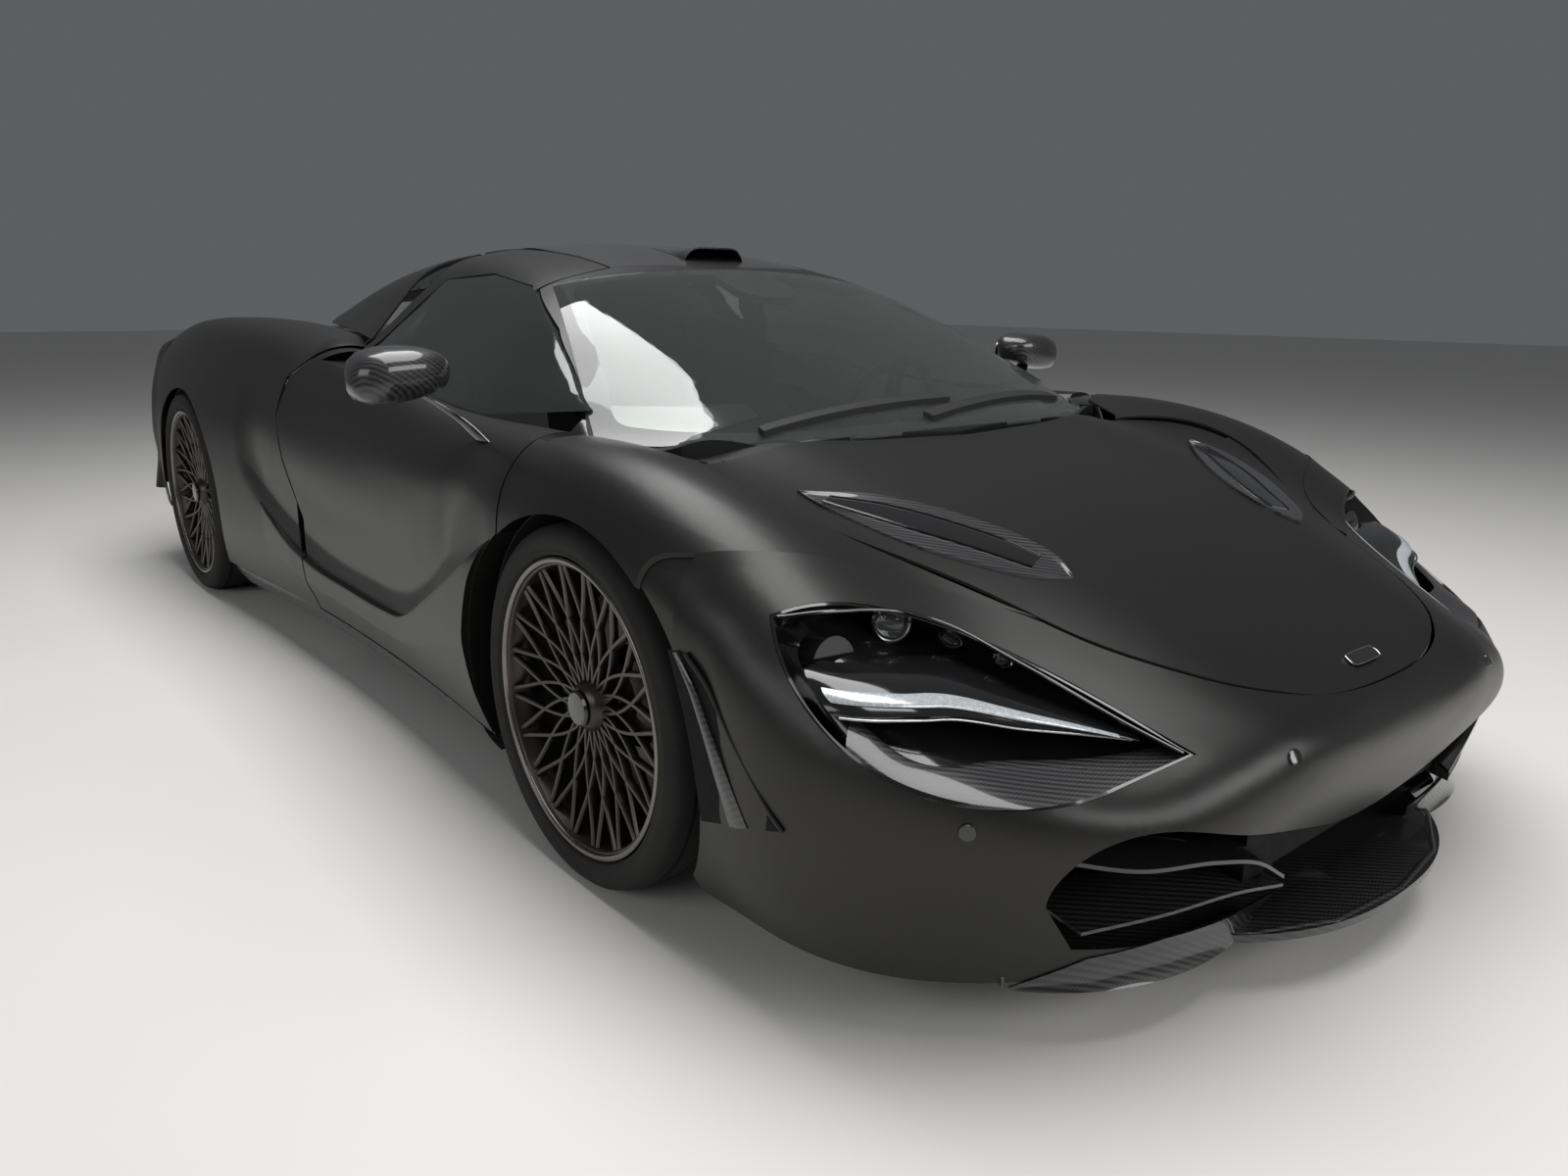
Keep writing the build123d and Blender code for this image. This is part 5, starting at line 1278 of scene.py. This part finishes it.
# %% Mirrors
POD_X = np.array((876, 884, 900, 930, 970, 1010, 1045, 1064, 1074, 1078), float)[:, None]
POD_HALF_Y = np.array((8, 34, 52, 62, 66, 66, 60, 48, 28, 6), float)[:, None]
POD_HALF_Z = np.array((7, 26, 39, 48, 53, 54, 49, 38, 22, 5), float)[:, None]
POD_MIDDLE_Z = np.array((884, 884, 883, 881, 878, 875, 871, 868, 866, 865), float)[:, None]
POD_Y, POD_BACK_Y = -655.0, -604.0
SQUARENESS = 0.62   # 1 gives an oval, and near 0 a box


def squared(wave):
    """A sine or cosine whose curve is pushed towards a square by a power below one."""
    return np.sign(wave) * np.abs(wave) ** SQUARENESS


turn = np.linspace(0, 2 * pi, 48, endpoint=False)[None, :]
pod_y = POD_Y + POD_HALF_Y * squared(np.cos(turn))
pod_z = POD_MIDDLE_Z + POD_HALF_Z * squared(np.sin(turn))
pod_z = pod_z + 6 * np.clip((pod_y - POD_Y) / 66, -1, 1) * (pod_z > POD_MIDDLE_Z)
pair("mirror_pod", *loft(stacked(POD_X, np.minimum(pod_y, POD_BACK_Y), pod_z)), carbon_gloss,
     "door_left", "door_right", ("mirror",))

u = np.linspace(-1, 1, 25)[:, None]
v = np.linspace(-1, 1, 13)[None, :]
pane = stacked(972 + 82 * u * np.sqrt(1 - 0.35 * v**2), POD_BACK_Y + 1.5,
               876 + 40 * v * np.sqrt(1 - 0.45 * u**2))
pair("mirror_glass", *sheet(pane, y=3.0), bright_metal, "door_left", "door_right")

arm_front = flowing([(872, -826, 752), (884, -772, 782), (908, -716, 812), (946, -690, 838)], 24)
arm_rear = flowing([(874, -738, 757), (890, -704, 786), (918, -668, 815), (952, -640, 840)], 24)
arm = between(arm_front, arm_rear, np.linspace(0, 1, 9))
arm_swell = 5.0 * np.sin(np.linspace(0, pi, 9))[:, None] * np.array((1.0, 0.0, -0.4))
arm_slab = slab(arm + arm_swell, arm - arm_swell - np.array((2.0, 0.0, 0.0)))
pair("mirror_arm", *arm_slab, gloss_black, "door_left", "door_right")
tell("mirrors")

# %% [markdown]
# ## Splitter edge
# The carbon splitter ends in a rounded bead, a foot that flares out under each lamp, and
# a low upright fence at each corner. The bead is a bar along the front edge. The foot is
# a strip of the nose whose level grows towards the ground, which makes the flare.

# %% Splitter edge
SPLITTER_FRONT = [(0, -2262), (180, -2242), (318, -2178), (396, -2112), (500, -2112)]
BEAD_Z = 106.0
FOOT_START, FOOT_END = 22, 53   # azimuths on the nose, in degrees

front_half = flowing(SPLITTER_FRONT, 70, straight=True)
front = np.concatenate([front_half[:0:-1] * np.array((-1.0, 1.0)), front_half])
piece_from("splitter_bead", *tube(stacked(front[:, 0], front[:, 1], BEAD_Z), 7.5), carbon_gloss, "chassis")

azimuth = np.linspace(FOOT_START, FOOT_END, 60)[:, None]
share = np.linspace(0, 1, 14)[None, :]
foot_top = np.interp(azimuth, (FOOT_START, 27, 38, 46, FOOT_END), (108, 146, 158, 150, 103))
foot_z = 99 + (foot_top - 99) * share
arc = np.sin((azimuth - FOOT_START) / (FOOT_END - FOOT_START) * pi)
foot_flare = 2.0 + 34.0 * (1 - share) ** 2 * np.clip(arc, 0, 1) ** 0.7
foot = slab(nose_at(azimuth, foot_z, foot_flare), nose_at(azimuth, foot_z, -2.0))
pair("splitter_foot", *foot, carbon_gloss, "chassis")

fence_y = np.linspace(-2030, -1900, 24)[:, None]
fence_tall = 4 + 62 * np.clip((fence_y + 2036) / 90, 0, 1) ** 0.7
fence = stacked(690 + (fence_y + 1965) * -0.45, fence_y, 108 + fence_tall * np.linspace(0, 1, 12))
pair("splitter_fence", *sheet(fence, x=6.0), carbon_gloss, "chassis")
tell("splitter edge")

# %% [markdown]
# ## Roof scoop
# A small wedge on the roof's front edge draws air for the engine. It is a patch of the
# roof raised most in front and faired to nothing behind and at its sides.

# %% Roof scoop
SCOOP_FRONT_Y, SCOOP_LONG, SCOOP_HALF, SCOOP_TALL = -392, 190, 95, 34
u = np.linspace(-1, 1, 31)[:, None]
v = np.linspace(0, 1, 24)[None, :]
scoop_x = SCOOP_HALF * u * (1 - 0.25 * v)
scoop_y = SCOOP_FRONT_Y + SCOOP_LONG * v + 14 * u**2
scoop_rise = SCOOP_TALL * (1 - v) ** 1.3 * np.clip(1 - u**6, 0, 1) + 1.2
scoop = top_at(scoop_x, scoop_y, 0.0, cabin_form) + UP * scoop_rise[..., None]
scoop_lower = np.maximum(scoop - 4 * UP, top_at(scoop_x, scoop_y, -1.0, cabin_form))
piece_from("roof_scoop", *slab(scoop, scoop_lower), carbon_gloss, "chassis")
tell("roof scoop")

# %% [markdown]
# ## Brake callipers
# A calliper straddles each disc like a horseshoe: a plate on either side and a bridge
# over the rim of the disc. Its section is swept along an arc about the axle, because a
# cast block would hit the disc or the rim. It stays with the carrier: the front ones
# steer with the wheels and none of them spins.

# %% Callipers
CALLIPERS = {"front": ((-28, 32), ("steering_left", "steering_right")), "rear": ((152, 208), ("chassis",))}


def calliper_section(face):
    """Horseshoe section: an outer plate, a bridge and a thin inner plate."""
    return [(face - 98, 136), (face - 94, 150), (face - 94, 206), (face - 104, 222), (face - 154, 222),
            (face - 160, 214), (face - 160, 140), (face - 152, 140), (face - 152, 199), (face - 116, 199),
            (face - 116, 136)]


for end, (arc, bodies) in CALLIPERS.items():
    centre, tyre_radius, rim, width = WHEELS[end]
    section = calliper_section(width / 2 - FACE_INSET)
    block = loft(swept(section, centre, np.radians(np.linspace(*arc, 28))))
    pair(f"calliper_{end}", *block, cast_metal, *bodies)
tell("callipers")

# %% [markdown]
# ## Engine deck and tail
# Slats over the engine let hot air out: each starts flush with the deck and rises towards
# its rear edge. Fine black mesh fills the open tail on both sides of the exhausts.

# %% Deck and tail
def deck_slat(front_y, long_y, half_x):
    """Slat over (across, along) that grows from the deck as a power of the distance along."""
    u = np.linspace(-1, 1, 41)[:, None]
    v = np.linspace(0, 1, 8)[None, :]
    x, y = half_x * u, front_y + long_y * v + 18 * u**2
    rise = 1.0 + 13.0 * v**1.3 * np.clip(1 - u**8, 0, 1)
    top = top_at(x, y) + UP * rise[..., None]
    under = np.maximum(top[..., 2] - 3.5, top_at(x, y, -1.0)[..., 2])
    return slab(top, stacked(top[..., 0], top[..., 1], under))


slats = joined(*[deck_slat(1440 + 62 * number, 44, 300 - 12 * number) for number in range(6)])
piece_from("deck_slats", *slats, carbon, "chassis")
pair("tail_mesh", *mesh_panel(190, 700, 430, 690, 2175, 17), mesh_black, "chassis")
tell("deck and tail")

# %% [markdown]
# ## Floor
# A pale floor runs far out on every side, so that its edge is never seen. It is stage
# scenery and not part of the car, and one square with a slightly clouded colour will do.

# %% Floor
FLOOR_COLOUR = (0.74, 0.73, 0.715)
FLOOR_HALF = 30.0
floor_finish = Finish("floor", roughness=0.6)
darker = tuple(0.95 * c for c in FLOOR_COLOUR)
floor_finish.set("base_color", floor_finish.mix(floor_finish.noise(1.5), FLOOR_COLOUR, darker))
floor_mesh = bpy.data.meshes.new("floor")
corners = [(sx * FLOOR_HALF, sy * FLOOR_HALF, 0) for sx, sy in ((-1, -1), (1, -1), (1, 1), (-1, 1))]
floor_mesh.from_pydata(corners, [], [(0, 1, 2, 3)])
floor_mesh.materials.append(floor_finish.material)
floor = bpy.data.objects.new("floor", floor_mesh)
scene.collection.objects.link(floor)
print("floor", 2 * FLOOR_HALF, "m wide")

# %% [markdown]
# ## World and lamps
# Large soft lamps overhead and beside the car give the broad white highlights that show
# satin paint, and a faint, slightly blue world fills the shadows. A painted sky could do
# both, but lamps of a given size and power are simpler to judge and to change.

# %% World and lamps
world = bpy.data.worlds.new("studio")
scene.world = world
world.use_nodes = True
sky = world.node_tree.nodes["Background"]
sky.inputs["Color"].default_value = (0.92, 0.94, 0.97, 1)
sky.inputs["Strength"].default_value = 0.12


def soft_lamp(name, place, aim, size, power):
    """Rectangular lamp at a place in metres that faces a point; its power is in watts."""
    lamp_data = bpy.data.lights.new(name, "AREA")
    lamp_data.shape = "RECTANGLE"
    lamp_data.size, lamp_data.size_y = size
    lamp_data.energy = power
    lamp = bpy.data.objects.new(name, lamp_data)
    facing = (Vector(place) - Vector(aim)).to_track_quat("Z", "Y")
    lamp.matrix_world = Matrix.Translation(place) @ facing.to_matrix().to_4x4()
    scene.collection.objects.link(lamp)


soft_lamp("overhead", (0, -0.5, 5.0), (0, -0.5, 0), (3.0, 7.0), 330)
soft_lamp("right_wall", (-6.0, -1.5, 2.8), (0, 0, 0.5), (5.0, 2.2), 70)
soft_lamp("front_wall", (1.5, -7.0, 3.0), (0, 0, 0.5), (5.0, 2.0), 150)
print("lamps:", [(light.name, light.energy) for light in bpy.data.lights])
